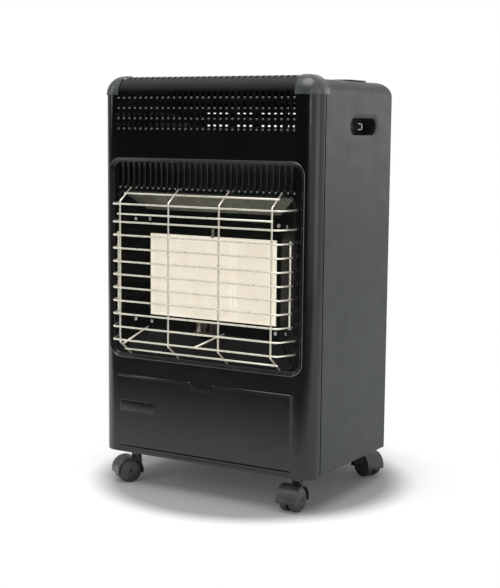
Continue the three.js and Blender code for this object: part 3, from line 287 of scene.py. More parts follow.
# Each finish's title, group, colour (or the colour's name in HeaterPaint), group inputs, and
# what else grouped_material is told.
FINISHES = {
    "gloss": ("Gloss enamel", "paint", "gloss", (0.17, 300.0, 0.25),
              {"bump": 0.05, "distance": 0.0001}),
    "lip enamel": ("Lip enamel", "paint", "gloss", (0.14, 300.0, 0.1),
                   {"bump": 0.02, "distance": 0.0001, "IOR": 2.3}),
    "satin": ("Satin powder coat", "paint", "satin", (0.4, 700.0, 0.35),
              {"bump": 0.12, "distance": 0.0001, "IOR": 1.36}),
    # Black stove enamel: the burner frame's own colour. On the bare bottom and side reflectors it
    # is painted shade, standing in for the dark they lie in and reflect.
    "black frame": ("Stove enamel", "paint", (0.002, 0.0025, 0.002), (0.2, 500.0, 0.2),
                    {"bump": 0.06, "distance": 0.0001, "IOR": 1.28}),
    "plate": ("Plate enamel", "paint", (0.0025, 0.003, 0.003), (0.25, 900.0, 0.2),
              {"bump": 0.04, "distance": 0.0001}),
    # Port bores: a dark brown far darker than the ceramic, painted shade inside the ports and on
    # their closed bottoms.
    "port": ("Port bore", "paint", (0.09, 0.06, 0.04), (0.9, 900.0, 0.0), {"bump": 0.05}),
    "cap": ("Corner cap plastic", "plastic", "cap", (0.3, 1800.0), {"bump": 0.04}),
    "black plastic": ("Black plastic", "plastic", (0.004, 0.004, 0.004), (0.45, 1500.0), {}),
    "castor": ("Castor plastic", "plastic", (0.022, 0.022, 0.024), (0.4, 1200.0), {}),
    "tread": ("Wheel tread", "plastic", (0.034, 0.034, 0.036), (0.5, 900.0), {"bump": 0.15}),
    "sooted ceramic": ("Sooted ceramic", "plastic", (0.3, 0.26, 0.21), (0.6, 1500.0), {}),
    "nickel": ("Nickel plate", "metal", "wire", (0.28, 0.15, (0.5, 0.4, 0.26)),
               {"metallic": 0.75, "bump": 0.05}),
    "steel": ("Rolled steel", "metal", (0.42, 0.42, 0.41), (0.38, 0.4, (0.25, 0.23, 0.2)),
              {"metallic": 1.0}),
    "reflector": ("Heat-tinted reflector", "metal", (0.13, 0.13, 0.105),
                  (0.3, 0.5, (0.05, 0.05, 0.035)), {"metallic": 0.8, "bump": 0.06}),
    "brass": ("Machined brass", "metal", (0.5, 0.34, 0.12), (0.32, 0.4, (0.25, 0.13, 0.05)),
              {"metallic": 1.0, "bump": 0.08}),
    "zinc": ("Zinc plate", "metal", (0.62, 0.62, 0.6), (0.28, 0.3, (0.5, 0.45, 0.3)),
             {"metallic": 1.0, "bump": 0.05}),
    "sooted steel": ("Sooted steel", "metal", (0.1, 0.095, 0.08),
                     (0.5, 0.7, (0.03, 0.028, 0.025)), {"metallic": 0.8, "bump": 0.15}),
    "blackened steel": ("Blackened steel", "metal", (0.05, 0.05, 0.052),
                        (0.42, 0.4, (0.02, 0.02, 0.02)), {"metallic": 0.9}),
}
GROUPS = {}
MATERIALS = {}


def new_surface(name):
    """A new material, with its node tree and its Principled shader."""
    made = bpy.data.materials.new(name)
    made.use_nodes = True
    return made, made.node_tree, made.node_tree.nodes["Principled BSDF"]


def add_bump(tree, principled, height, strength, distance):
    inputs = {"Height": height, "Strength": strength, "Distance": distance}
    relief = new_node(tree, "ShaderNodeBump", inputs)
    feed(tree, principled.inputs["Normal"], relief.outputs["Normal"])


def grouped_material(name, group, colour, inputs, metallic=0.0, bump=0.1, distance=0.0002,
                     **shader):
    """A material whose colour, roughness and bump come from one of the shader groups."""
    made, tree, principled = new_surface(name)
    maker, labels = MAKERS[group]
    if group not in GROUPS:
        GROUPS[group] = maker()
    place = tree.nodes.new("ShaderNodeTexCoord").outputs["Object"]
    values = {"Vector": place, "Colour": colour, **dict(zip(labels, inputs))}
    node = new_node(tree, "ShaderNodeGroup", values, node_tree=GROUPS[group])
    for label, item in {"Metallic": metallic, "Base Color": node.outputs["Colour"],
                        "Roughness": node.outputs["Roughness"], **shader}.items():
        feed(tree, principled.inputs[label], item)
    add_bump(tree, principled, node.outputs["Height"], bump, distance)
    return made


def make_ceramic_material(colour):
    """Fired ceramic fibre: chalky, with faint scorched patches and a fine tooth."""
    made, tree, principled = new_surface("Fired ceramic")
    place = tree.nodes.new("ShaderNodeTexCoord").outputs["Object"]
    patches = noise_node(tree, place, 22.0, 4.0, 0.6)
    tooth = noise_node(tree, place, 1500.0, 2.0)
    patch = remap_node(tree, patches, 0.4, 0.75, 0.0, 0.5)
    scorched = tuple(part * dimmed for part, dimmed in zip(colour, (0.9, 0.84, 0.75)))
    tree.links.new(mix_colour(tree, patch, colour, scorched), principled.inputs["Base Color"])
    tree.links.new(remap_node(tree, tooth, 0.3, 0.7, 0.8, 0.95), principled.inputs["Roughness"])
    add_bump(tree, principled, tooth, 0.3, 0.0002)
    return made


def material(name):
    """The named finish, made the first time that a piece asks for it."""
    if name in MATERIALS:
        return MATERIALS[name]
    paint = bpy.context.scene.heater_paint
    if name == "ceramic":
        made = make_ceramic_material(tuple(paint.ceramic))
    else:
        title, group, colour, inputs, settings = FINISHES[name]
        if isinstance(colour, str):
            colour = getattr(paint, colour)
        made = grouped_material(title, group, colour, inputs, **settings)
    MATERIALS[name] = made
    return made


# ------------------------ mesh helpers
def linked(name, data):
    """A new object in the scene."""
    obj = bpy.data.objects.new(name, data)
    bpy.context.scene.collection.objects.link(obj)
    return obj


def piece(name, mesh, body, finish, nodes=()):
    """A finished mesh as a piece that rides on a body and stands for some CAD nodes."""
    obj = linked(name, mesh)
    if not mesh.materials:
        mesh.materials.append(material(finish))
    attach(obj, body)
    if nodes:
        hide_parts(*nodes)
    return obj


def node_piece(node, ending, bevel, body, finish):
    """A CAD node's softened form as a piece that stands for it."""
    name = f"{node}_{ending}"
    return piece(name, softened(node, name, bevel), body, finish, [node])


def shaped_piece(name, build, finish, weld=1e-6):
    """A piece of the cabinet from a function that fills a bmesh."""
    return piece(name, shade(mesh_from(build, name, weld)), "cabinet", finish)


def mesh_from(build, name, weld=1e-6, outward=True):
    """Runs a function that fills a bmesh, and returns its mesh."""
    shape = bmesh.new()
    build(shape)
    if weld:
        bmesh.ops.remove_doubles(shape, verts=shape.verts, dist=weld)
    if outward:
        bmesh.ops.recalc_face_normals(shape, faces=shape.faces)
    mesh = bpy.data.meshes.new(name)
    shape.to_mesh(mesh)
    shape.free()
    return mesh


def shade(mesh, angle=60.0):
    """Smooth shading that keeps the edges sharper than an angle."""
    mesh.shade_smooth()
    mesh.set_sharp_from_angle(angle=math.radians(angle))
    return mesh


def evaluated(obj, name):
    """The object's mesh after its modifiers, without the object."""
    graph = bpy.context.evaluated_depsgraph_get()
    made = bpy.data.meshes.new_from_object(obj.evaluated_get(graph))
    made.name = name
    bpy.data.objects.remove(obj)
    return made


def applied(mesh, name, *modifiers):
    """The mesh after modifiers, each a (type, settings) pair, with the modifiers gone."""
    obj = linked(name, mesh)
    for kind, settings in modifiers:
        modifier = obj.modifiers.new(kind.title(), kind)
        for label, value in settings.items():
            setattr(modifier, label, value)
    return evaluated(obj, name)


def softened(node, name, bevel):
    """A CAD node's form, welded, its edges rolled over and its curves shaded smooth.

    The bevel stays under half the sheet, or a sheet's edge has no flat left."""
    def whole_faces(shape):
        shape.from_mesh(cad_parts[node].data)
        bmesh.ops.remove_doubles(shape, verts=shape.verts, dist=2e-5)
        bmesh.ops.dissolve_limit(
            shape, angle_limit=math.radians(1.0), verts=shape.verts, edges=shape.edges,
            delimit={"NORMAL"})
    mesh = mesh_from(whole_faces, name, weld=0, outward=False)
    mesh.shade_smooth()
    return applied(
        mesh, name,
        ("BEVEL", {"width": bevel, "segments": 2, "limit_method": "ANGLE",
                   "angle_limit": math.radians(35), "use_clamp_overlap": True}),
        ("WEIGHTED_NORMAL", {"mode": "FACE_AREA", "weight": 80}),
    )


def turns(count, start=0.0):
    """Angles spread evenly round a circle."""
    return [2 * math.pi * (k + start) / count for k in range(count)]


def bridge(shape, here, after):
    """Faces between two rings of vertices. A ring of one vertex is a tip."""
    sides = max(len(here), len(after))
    for k in range(sides):
        m = (k + 1) % sides
        corners = (here[k % len(here)], here[m % len(here)],
                   after[m % len(after)], after[k % len(after)])
        distinct = list(dict.fromkeys(corners))
        if len(distinct) > 2:
            shape.faces.new(distinct)


def smooth_route(points, bend, steps=5):
    """A route whose corners are rounded by arcs of the bend's radius."""
    route = [points[0]]
    for before, corner, after in zip(points, points[1:], points[2:]):
        back, on = before - corner, after - corner
        half = back.angle(on) / 2
        reach = min(bend / math.tan(half), back.length * 0.45, on.length * 0.45)
        start, end = corner + back.normalized() * reach, corner + on.normalized() * reach
        for i in range(steps + 1):
            t = i / steps
            route.append(start.lerp(corner, t).lerp(corner.lerp(end, t), t))
    route.append(points[-1])
    return route


def add_tube(shape, route, radius, sides=12):
    """A round wire along a route, with slightly domed ends."""
    rings = []
    previous = None
    last = len(route) - 1
    for i, point in enumerate(route):
        if i == 0:
            along = route[1] - route[0]
        elif i == last:
            along = route[-1] - route[-2]
        else:
            along = (route[i + 1] - point).normalized() + (point - route[i - 1]).normalized()
        along.normalize()
        side = previous or Vector((0, 0, 1)).cross(along)
        if side.length < 0.1:
            side = Vector((1, 0, 0))
        side = (side - along * side.dot(along)).normalized()
        previous = side
        up = along.cross(side)
        ring = [point + side * math.cos(a) * radius + up * math.sin(a) * radius
                for a in turns(sides)]
        rings.append([shape.verts.new(p) for p in ring])
        if i in (0, last):
            outward = -along if i == 0 else along
            cap = [shape.verts.new(point + (p - point) * 0.6 + outward * radius * 0.45)
                   for p in ring]
            rings.insert(0 if i == 0 else len(rings), cap)
    for here, after in zip(rings, rings[1:]):
        bridge(shape, here, after)
    shape.faces.new(list(reversed(rings[0])))
    shape.faces.new(rings[-1])


def add_wire(shape, places, radius, bend=0.0, sides=12, steps=5):
    """A round wire through some places, with bent corners where a bend is given."""
    route = [Vector(place) for place in places]
    if bend:
        route = smooth_route(route, bend, steps)
    add_tube(shape, route, radius, sides)


def add_block(shape, low, high):
    """A plain block between two corners."""
    verts = [shape.verts.new((x, y, z)) for x in (low[0], high[0]) for y in (low[1], high[1])
             for z in (low[2], high[2])]
    for face in ((0, 1, 3, 2), (4, 6, 7, 5), (0, 4, 5, 1), (2, 3, 7, 6), (0, 2, 6, 4),
                 (1, 5, 7, 3)):
        shape.faces.new([verts[i] for i in face])


# ------------------------ geometry nodes helpers
def grid_tree(name, finish):
    """A tree that sets one small form on a flat grid of places, seen from the front.

    Inputs: Form, Columns, Rows, Column pitch, Row pitch, Stagger, Origin."""
    tree = bpy.data.node_groups.new(name, "GeometryNodeTree")
    for label, kind in (("Geometry", "Geometry"), ("Form", "Object"), ("Columns", "Int"),
                        ("Rows", "Int"), ("Column pitch", "Float"), ("Row pitch", "Float"),
                        ("Stagger", "Float"), ("Origin", "Vector")):
        tree.interface.new_socket(name=label, in_out="INPUT", socket_type=f"NodeSocket{kind}")
    tree.interface.new_socket(name="Geometry", in_out="OUTPUT",
                              socket_type="NodeSocketGeometry")
    entry = tree.nodes.new("NodeGroupInput").outputs

    def maths(operation, *values):
        return math_node(tree, operation, *values)
    index = tree.nodes.new("GeometryNodeInputIndex").outputs[0]
    row = maths("FLOOR", maths("DIVIDE", maths("ADD", index, 0.5), entry["Columns"]))
    column = maths("SUBTRACT", index, maths("MULTIPLY", row, entry["Columns"]))
    odd = maths("MODULO", row, 2.0)
    across = maths("ADD", maths("MULTIPLY", column, entry["Column pitch"]),
                   maths("MULTIPLY", odd, entry["Stagger"]))
    down = maths("MULTIPLY", maths("MULTIPLY", row, entry["Row pitch"]), -1.0)
    place = new_node(tree, "ShaderNodeCombineXYZ", {"X": across, "Z": down}).outputs[0]
    shift = new_node(tree, "ShaderNodeVectorMath", {0: place, 1: entry["Origin"]},
                     operation="ADD").outputs[0]
    total = maths("MULTIPLY", entry["Columns"], entry["Rows"])
    points = new_node(tree, "GeometryNodePoints", {"Count": total, "Position": shift})
    info = new_node(tree, "GeometryNodeObjectInfo", {"Object": entry["Form"]},
                    transform_space="ORIGINAL")
    scatter = new_node(tree, "GeometryNodeInstanceOnPoints",
                       {"Points": points.outputs[0], "Instance": info.outputs["Geometry"]})
    whole = new_node(tree, "GeometryNodeRealizeInstances", {"Geometry": scatter.outputs[0]})
    paint = new_node(tree, "GeometryNodeSetMaterial", {"Geometry": whole.outputs[0]})
    paint.inputs["Material"].default_value = material(finish)
    new_node(tree, "NodeGroupOutput", {"Geometry": paint.outputs[0]})
    return tree


def repeated(name, form, finish, columns, rows, column_pitch, row_pitch, origin, stagger=0.0):
    """A mesh of one form repeated on a grid by a Geometry Nodes tree."""
    tree = grid_tree(f"{name} grid", finish)
    seed = linked(f"{name}_form", form)
    carrier = linked(f"{name}_carrier", bpy.data.meshes.new(f"{name}_carrier"))
    modifier = carrier.modifiers.new("Grid", "NODES")
    modifier.node_group = tree
    values = {"Form": seed, "Columns": columns, "Rows": rows, "Column pitch": column_pitch,
              "Row pitch": row_pitch, "Stagger": stagger, "Origin": tuple(origin)}
    for item in tree.interface.items_tree:
        if item.item_type == "SOCKET" and item.in_out == "INPUT" and item.name in values:
            modifier[item.identifier] = values[item.name]
    carrier.update_tag()
    made = evaluated(carrier, name)
    bpy.data.objects.remove(seed)
    return made


def grid_piece(name, form, finish, columns, rows, column_pitch, row_pitch, origin,
               angle=60.0):
    """A piece of the cabinet from one form repeated on a grid."""
    mesh = repeated(name, form, finish, columns, rows, column_pitch, row_pitch, origin)
    return piece(name, shade(mesh, angle), "cabinet", finish)


# ------------------------ pieces: pressed front
def lip_form(width, height, reach, depth=0.8 * MM):
    """One pressed lip: half an egg, its back let into the sheet."""
    def build(shape):
        sides, levels = 12, 4

        def ring(share, y):
            """The lip's outline at a share of its size."""
            return [shape.verts.new((width / 2 * math.cos(a) * share, y,
                                     height / 2 * math.sin(a) * share)) for a in turns(sides)]
        rings = [ring(1.0, depth)]
        for i in range(levels):
            rise = i / levels * math.pi / 2
            rings.append(ring(math.cos(rise), -reach * math.sin(rise)))
        rings.append([shape.verts.new((0, -reach, 0))])
        for here, after in zip(rings, rings[1:]):
            bridge(shape, here, after)
        shape.faces.new(rings[0])
    return shade(mesh_from(build, "lip_form"))


def rounded_loop(half_width, low, high, radius, y, steps=8):
    """Points of a rounded upright rectangle, once round."""
    points = []
    for x, z, turn in ((half_width, low, -90), (half_width, high, 0),
                       (-half_width, high, 90), (-half_width, low, 180)):
        centre = Vector((math.copysign(half_width - radius, x), y,
                         low + radius if z == low else high - radius))
        for i in range(steps + 1):
            a = math.radians(turn + 90 * i / steps)
            points.append(centre + Vector((math.cos(a), 0, math.sin(a))) * radius)
    return points


def add_ring_tube(shape, loop, radius, sides=10):
    """A round bead along a closed upright loop."""
    rings = []
    for i, point in enumerate(loop):
        along = (loop[(i + 1) % len(loop)] - loop[i - 1]).normalized()
        out = Vector((0, 1, 0))
        side = along.cross(out)
        rings.append([shape.verts.new(point + side * math.cos(a) * radius
                                      + out * math.sin(a) * radius) for a in turns(sides)])
    for here, after in zip(rings, rings[1:] + rings[:1]):
        bridge(shape, here, after)


class HEATER_OT_fascia(bpy.types.Operator):
    """Pressed fascia with its grille, the lips under the slots and the pressed beads"""
    bl_idname = "heater.fascia"
    bl_label = "Fascia"

    def execute(self, context):
        grille = context.scene.heater_grille
        half_panel, half_edge, half_notch, notch_drop = 171 * MM, 172 * MM, 21 * MM, 9 * MM
        node_piece("fascia", "shell", 0.4 * MM, "cabinet", "gloss")
        slot_bottom = DECK - GRILLE_DROP - SLOT_HEIGHT
        grid_piece("grille_lips",
                   lip_form(grille.lip_width, grille.lip_height, grille.lip_reach),
                   "lip enamel", COLUMNS, grille.rows, COLUMN_PITCH, grille.row_pitch,
                   (FIRST_COLUMN, FRONT, slot_bottom - grille.lip_height * 0.35))

        def beads(shape):
            for margin, corner, y, radius in (
                    (0.6 * MM, 22.6 * MM, FRONT, grille.bead),
                    (-5.2 * MM, 16.8 * MM, SURROUND_FRONT, grille.bead * 0.8)):
                loop = rounded_loop(RECESS_X + margin, RECESS_BOTTOM - margin,
                                    RECESS_TOP + margin, corner, y - 0.1 * MM)
                add_ring_tube(shape, loop, radius)
        shaped_piece("opening_beads", beads, "lip enamel")

        def crease(shape):
            """The raised panel's upper edge, with the notch for the fingers."""
            crown = RECESS_BOTTOM - PANEL_DROP - PANEL_RISE
            half_mouth = half_notch + 4 * MM
            places = [(x, FRONT, crown - drop) for x, drop in (
                (-half_panel, 0), (-half_mouth, 0), (-half_notch, notch_drop),
                (half_notch, notch_drop), (half_mouth, 0), (half_panel, 0))]
            add_wire(shape, places, PANEL_RISE, 3 * MM, 32)
        shaped_piece("panel_crease", crease, "gloss", weld=0)

        def fold(shape):
            places = [(x, FRONT + 0.1 * MM, FASCIA_LOW.z + 5.5 * MM)
                      for x in (-half_edge, 0, half_edge)]
            add_wire(shape, places, grille.bead * 0.9)
        shaped_piece("lower_bead", fold, "gloss")
        return {"FINISHED"}


class HEATER_OT_surround(bpy.types.Operator):
    """Burner surround with the ribs and lips of its long slots"""
    bl_idname = "heater.surround"
    bl_label = "Burner surround"

    def execute(self, context):
        grille = context.scene.heater_grille
        shell = softened("burner_surround", "surround_shell", 0.4 * MM)
        piece("surround_shell", shell, "cabinet", "gloss", ["burner_surround"])
        bottom = RECESS_TOP - COMB_DROP - COMB_LENGTH
        grid_piece("comb_lips", lip_form(5.4 * MM, 4.2 * MM, grille.lip_reach * 1.25),
                   "lip enamel", COLUMNS, 1, COLUMN_PITCH, 0.0,
                   (FIRST_COLUMN, SURROUND_FRONT, bottom - 1.6 * MM))

        def rim(shape):
            half_aperture, corner = 172.4 * MM, 10.4 * MM
            loop = rounded_loop(half_aperture, REFLECTOR_LOW - 2.4 * MM,
                                REFLECTOR_HIGH + 0.6 * MM, corner, SURROUND_FRONT - 0.2 * MM, 6)
            add_ring_tube(shape, loop, 1.1 * MM)
        shaped_piece("aperture_rim", rim, "gloss")

        def rib(shape):
            """A long crown that fades out at both ends."""
            width, length, sunk, steps = 5.2 * MM, COMB_LENGTH + 2 * MM, 0.4 * MM, 8
            rows = []
            for t in (i / steps for i in range(steps + 1)):
                fade = math.sqrt(min(1.0, min(t, 1 - t) * 6))
                bows = [(j / steps * 2 - 1) * 1.5 for j in range(steps + 1)]
                rows.append([shape.verts.new((
                    math.sin(bow) * width / 2,
                    sunk - (grille.rib_height + sunk) * fade * math.cos(bow),
                    length * t)) for bow in bows])
            for a, b in zip(rows, rows[1:]):
                for j in range(steps):
                    shape.faces.new((a[j], a[j + 1], b[j + 1], b[j]))
            shape.faces.new([r[0] for r in rows] + [r[-1] for r in reversed(rows)])
            shape.faces.new(list(reversed(rows[0])))
            shape.faces.new(rows[-1])
        grid_piece("comb_ribs", shade(mesh_from(rib, "rib_form")), "gloss",
                   COLUMNS - 1, 1, COLUMN_PITCH, 0.0,
                   (FIRST_COLUMN + COLUMN_PITCH / 2, SURROUND_FRONT, bottom - 1 * MM))
        return {"FINISHED"}


class HEATER_OT_plate(bpy.types.Operator):
    """Small bare plate on the raised lower panel"""
    bl_idname = "heater.plate"
    bl_label = "Bare plate"

    def execute(self, context):
        face = FASCIA_LOW.y
        left, right, low, high = -165.6 * MM, -93.7 * MM, 135.6 * MM, 154.8 * MM
        inset = 0.5 * MM

        def plate(shape):
            add_block(shape, (left, face - 0.9 * MM, low), (right, face + 0.3 * MM, high))
        solid = applied(mesh_from(plate, "bare_plate"), "bare_plate",
                        ("BEVEL", {"width": 0.5 * MM, "segments": 3}))
        piece("bare_plate", shade(solid, 50), "cabinet", "plate")

        def border(shape):
            half_width = (right - left) / 2 - inset + 0.05 * MM
            loop = rounded_loop(half_width, low + inset, high - inset, 1.6 * MM,
                                face - 0.8 * MM, 4)
            middle = Vector(((left + right) / 2, 0, 0))
            add_ring_tube(shape, [point + middle for point in loop], 0.45 * MM, 8)
        shaped_piece("plate_border", border, "cap")
        return {"FINISHED"}


class HEATER_OT_caps(bpy.types.Operator):
    """Moulded corner caps"""
    bl_idname = "heater.caps"
    bl_label = "Corner caps"

    def execute(self, context):
        for side in ("left", "right"):
            node_piece(f"corner_cap_{side}", "moulding", 0.4 * MM, "cabinet",
                       "cap")
        return {"FINISHED"}


# ------------------------ pieces: cabinet
class HEATER_OT_cabinet(bpy.types.Operator):
    """Cabinet wrap, base, rear cover, rear panel, hand-hole cups and their wire clips"""
    bl_idname = "heater.cabinet"
    bl_label = "Cabinet"

    def execute(self, context):
        for node, body in (("cabinet_wrap", "cabinet"), ("base_tray", "cabinet"),
                           ("rear_cover", "rear_cover"), ("rear_upper_panel", "cabinet")):
            node_piece(node, "sheet", 0.4 * MM, body, "satin")
        for side, outward in (("left", -1), ("right", 1)):
            node = f"handle_cup_{side}"
            node_piece(node, "moulding", 0.6 * MM, "cabinet", "black plastic")
            low, high = node_box(node)
            inner = (low.x if side == "right" else high.x) + outward * 2.2 * MM
            outer = inner + outward * 9 * MM
            front, back = 22 * MM, 34 * MM
            middle = (low.z + high.z) / 2

            def clip(shape):
                route = ((inner, front, 1), (outer, front, 1), (outer, back, 1),
                         (outer, back, -1), (outer, front, -1), (inner, front, -1))
                add_wire(shape, [(x, y, middle + level * 5 * MM) for x, y, level in route],
                         1.2 * MM, 2 * MM, 10, 4)
            shaped_piece(f"handle_clip_{side}", clip, "zinc", weld=0)
        return {"FINISHED"}


# ------------------------ pieces: burner
class HEATER_OT_plaques(bpy.types.Operator):
    """Ceramic plaques with their rows of ports"""
    bl_idname = "heater.plaques"
    bl_label = "Burner plaques"

    def execute(self, context):
        sizes = context.scene.heater_plaques
        side_margins = {"left": (9, 1.6), "centre": (1.6, 3.2), "right": (6.8, 13)}
        for place, (left, right) in side_margins.items():
            node = f"ceramic_plaque_{place}"
            low, high = node_box(node)
            field = (low.x + left * MM, high.x - right * MM, low.z + 5 * MM, high.z - 10 * MM)
            mesh = plaque_mesh(f"{node}_face", low, high, field, sizes.port, sizes.pitch)
            piece(f"{node}_face", mesh, "cabinet", "ceramic", [node])
        return {"FINISHED"}


def port_cell(port, pitch, depth, sides=12):
    """A six-sided piece of the plaque's face round one open port."""
    def build(shape):
        outer, rim, throat = [], [], []
        for angle in turns(sides, 0.5):
            sector = (angle % (math.pi / 3)) - math.pi / 6
            reach = (pitch / 2) / math.cos(sector)
            for ring, size, y in ((outer, reach, 0), (rim, port / 2, 0),
                                  (throat, port * 0.42, depth)):
                ring.append(shape.verts.new((size * math.cos(angle), y, size * math.sin(angle))))
        for k in range(sides):
            m = (k + 1) % sides
            shape.faces.new((outer[k], outer[m], rim[m], rim[k]))
            shape.faces.new((rim[k], rim[m], throat[m], throat[k]))
        shape.faces.new(list(reversed(throat)))
    return mesh_from(build, "port_form", weld=0, outward=False)


def plaque_mesh(name, low, high, field, port, pitch):
    """A plaque with plain margins round a field of staggered open ports."""
    row_pitch = pitch * math.sqrt(3) / 2
    x0, x1, z0, z1 = field
    columns = int((x1 - x0) / pitch - 0.5)
    rows = int((z1 - z0) / row_pitch)
    left = (x0 + x1 - (columns - 0.5) * pitch) / 2
    top = (z0 + z1 + (rows - 1) * row_pitch) / 2
    cells = repeated(name + "_cells", port_cell(port, pitch, 3 * MM), "ceramic", columns, rows,
                     pitch, row_pitch, (left, low.y, top), stagger=pitch / 2)

    def block(shape):
        add_block(shape, (low.x, low.y + 0.25 * MM, low.z), tuple(high))

    def plaque(shape):
        shape.from_mesh(cells)
        shape.from_mesh(mesh_from(block, name))
        x0, x1 = left - pitch / 2, left + columns * pitch
        z0, z1 = top - (rows - 0.5) * row_pitch, top + row_pitch / 2
        for a, b, c, d in ((low.x, x0, low.z, high.z), (x1, high.x, low.z, high.z),
                           (x0, x1, low.z, z0), (x0, x1, z1, high.z)):
            add_block(shape, (a, low.y, c), (b, low.y + 2 * MM, d))
    made = mesh_from(plaque, name, weld=0, outward=False)
    made.materials.clear()
    made.materials.append(material("ceramic"))
    made.materials.append(material("port"))
    # The ports' walls and closed bottoms take the dark port finish: painted shade inside each
    # port.
    ported = len(cells.polygons)
    for face in made.polygons:
        face.material_index = int(face.index < ported and face.center.y > low.y + 0.5 * MM)
    return made


class HEATER_OT_burner(bpy.types.Operator):
    """Burner frame, reflectors, their screws and the gas path behind them"""
    bl_idname = "heater.burner"
    bl_label = "Burner"

    def execute(self, context):
        for slot, finish, *nodes in (
                ("gloss", "black frame", "burner_frame"), ("steel", "steel", "heat_shield"),
                ("bare", "reflector", "reflector_top"),
                # The bare bottom and side reflectors take the black enamel as painted shade and
                # painted dark reflection, not as their own colour.
                ("bare", "black frame", "reflector_bottom", "reflector_left", "reflector_right"),
                # The pilot's bracket, burner, thermocouple and spark electrode take dark finishes,
                # far darker than bare steel, brass and white ceramic.
                ("bare", "sooted steel", "pilot_bracket"),
                ("brass", "sooted steel", "pilot_burner"),
                ("ceramic", "sooted ceramic", "spark_electrode"),
                ("brass", "sooted steel", "thermocouple"), ("brass", "brass", "injector_rail"),
                ("steel", "steel", "gas_pipe"), ("brass", "brass", "gas_valve", "hose_tail"),
                ("steel", "steel", "burner_body_left", "burner_body_centre",
                 "burner_body_right")):
            for node in nodes:
                node_piece(node, "made", 0.2 * MM, "cabinet", finish)
        face = FRAME_LOW.y
        upper, lower = 469 * MM, 291 * MM
        for level, x, z in (("upper", -128 * MM, upper), ("lower", -124 * MM, lower)):
            grid_piece(f"frame_screws_{level}", screw_form(3.2 * MM, 1.6 * MM), "zinc",
                       2, 1, -2 * x, 0.0, (x, face, z), 40)
        for side, turn in (("left", -1), ("right", 1)):
            tilt = Matrix.Rotation(turn * math.radians(-31), 4, "Z")
            grid_piece(f"reflector_screws_{side}", screw_form(2.8 * MM, 1.5 * MM, tilt),
                       "zinc", 1, 2, 0.0, 175 * MM, (turn * 150 * MM, face - 10.9 * MM, upper),
                       40)

        def clip(shape):
            """A folded tab: its foot on the frame, its end on the middle plaque."""
            left, right, bend = -1 * MM, 4 * MM, 446 * MM
            add_block(shape, (left, face - 1.2 * MM, bend), (right, face, bend + 11 * MM))
            add_block(shape, (left, face - 2.4 * MM, bend - 3.5 * MM),
                      (right, face - 1.1 * MM, bend + 2 * MM))
        made = applied(mesh_from(clip, "plaque_clip"), "plaque_clip",
                       ("BEVEL", {"width": 0.3 * MM, "segments": 2}))
        piece("plaque_clip", shade(made, 50), "cabinet", "zinc")
        return {"FINISHED"}


def screw_form(radius, height, turn=Matrix.Identity(4)):
    """A domed screw head with a round dimple, facing the front."""
    def build(shape):
        place = turn @ Matrix.Rotation(math.radians(90), 4, "X")
        rings = []
        for wide, high in ((0.0, height * 0.55), (radius * 0.3, height * 0.55),
                           (radius * 0.34, height * 0.98), (radius * 0.7, height * 0.78),
                           (radius * 0.97, height * 0.35), (radius, -0.3 * MM),
                           (0.0, -0.3 * MM)):
            rings.append([
                shape.verts.new(place @ Vector((wide * math.cos(a), wide * math.sin(a), high)))
                for a in (turns(12) if wide else [0.0])])
        for here, after in zip(rings, rings[1:]):
            bridge(shape, here, after)
    return mesh_from(build, "screw_form")


# ------------------------ pieces: guard
class HEATER_OT_guard(bpy.types.Operator):
    """Wire guard, welded from bent wires"""
    bl_idname = "heater.guard"
    bl_label = "Wire guard"

    def execute(self, context):
        sizes = context.scene.heater_guard
        mesh = guard_mesh(sizes.wire / 2, sizes.bend)
        piece("guard_wires", shade(mesh), "cabinet", "nickel", ["wire_guard"])
        return {"FINISHED"}


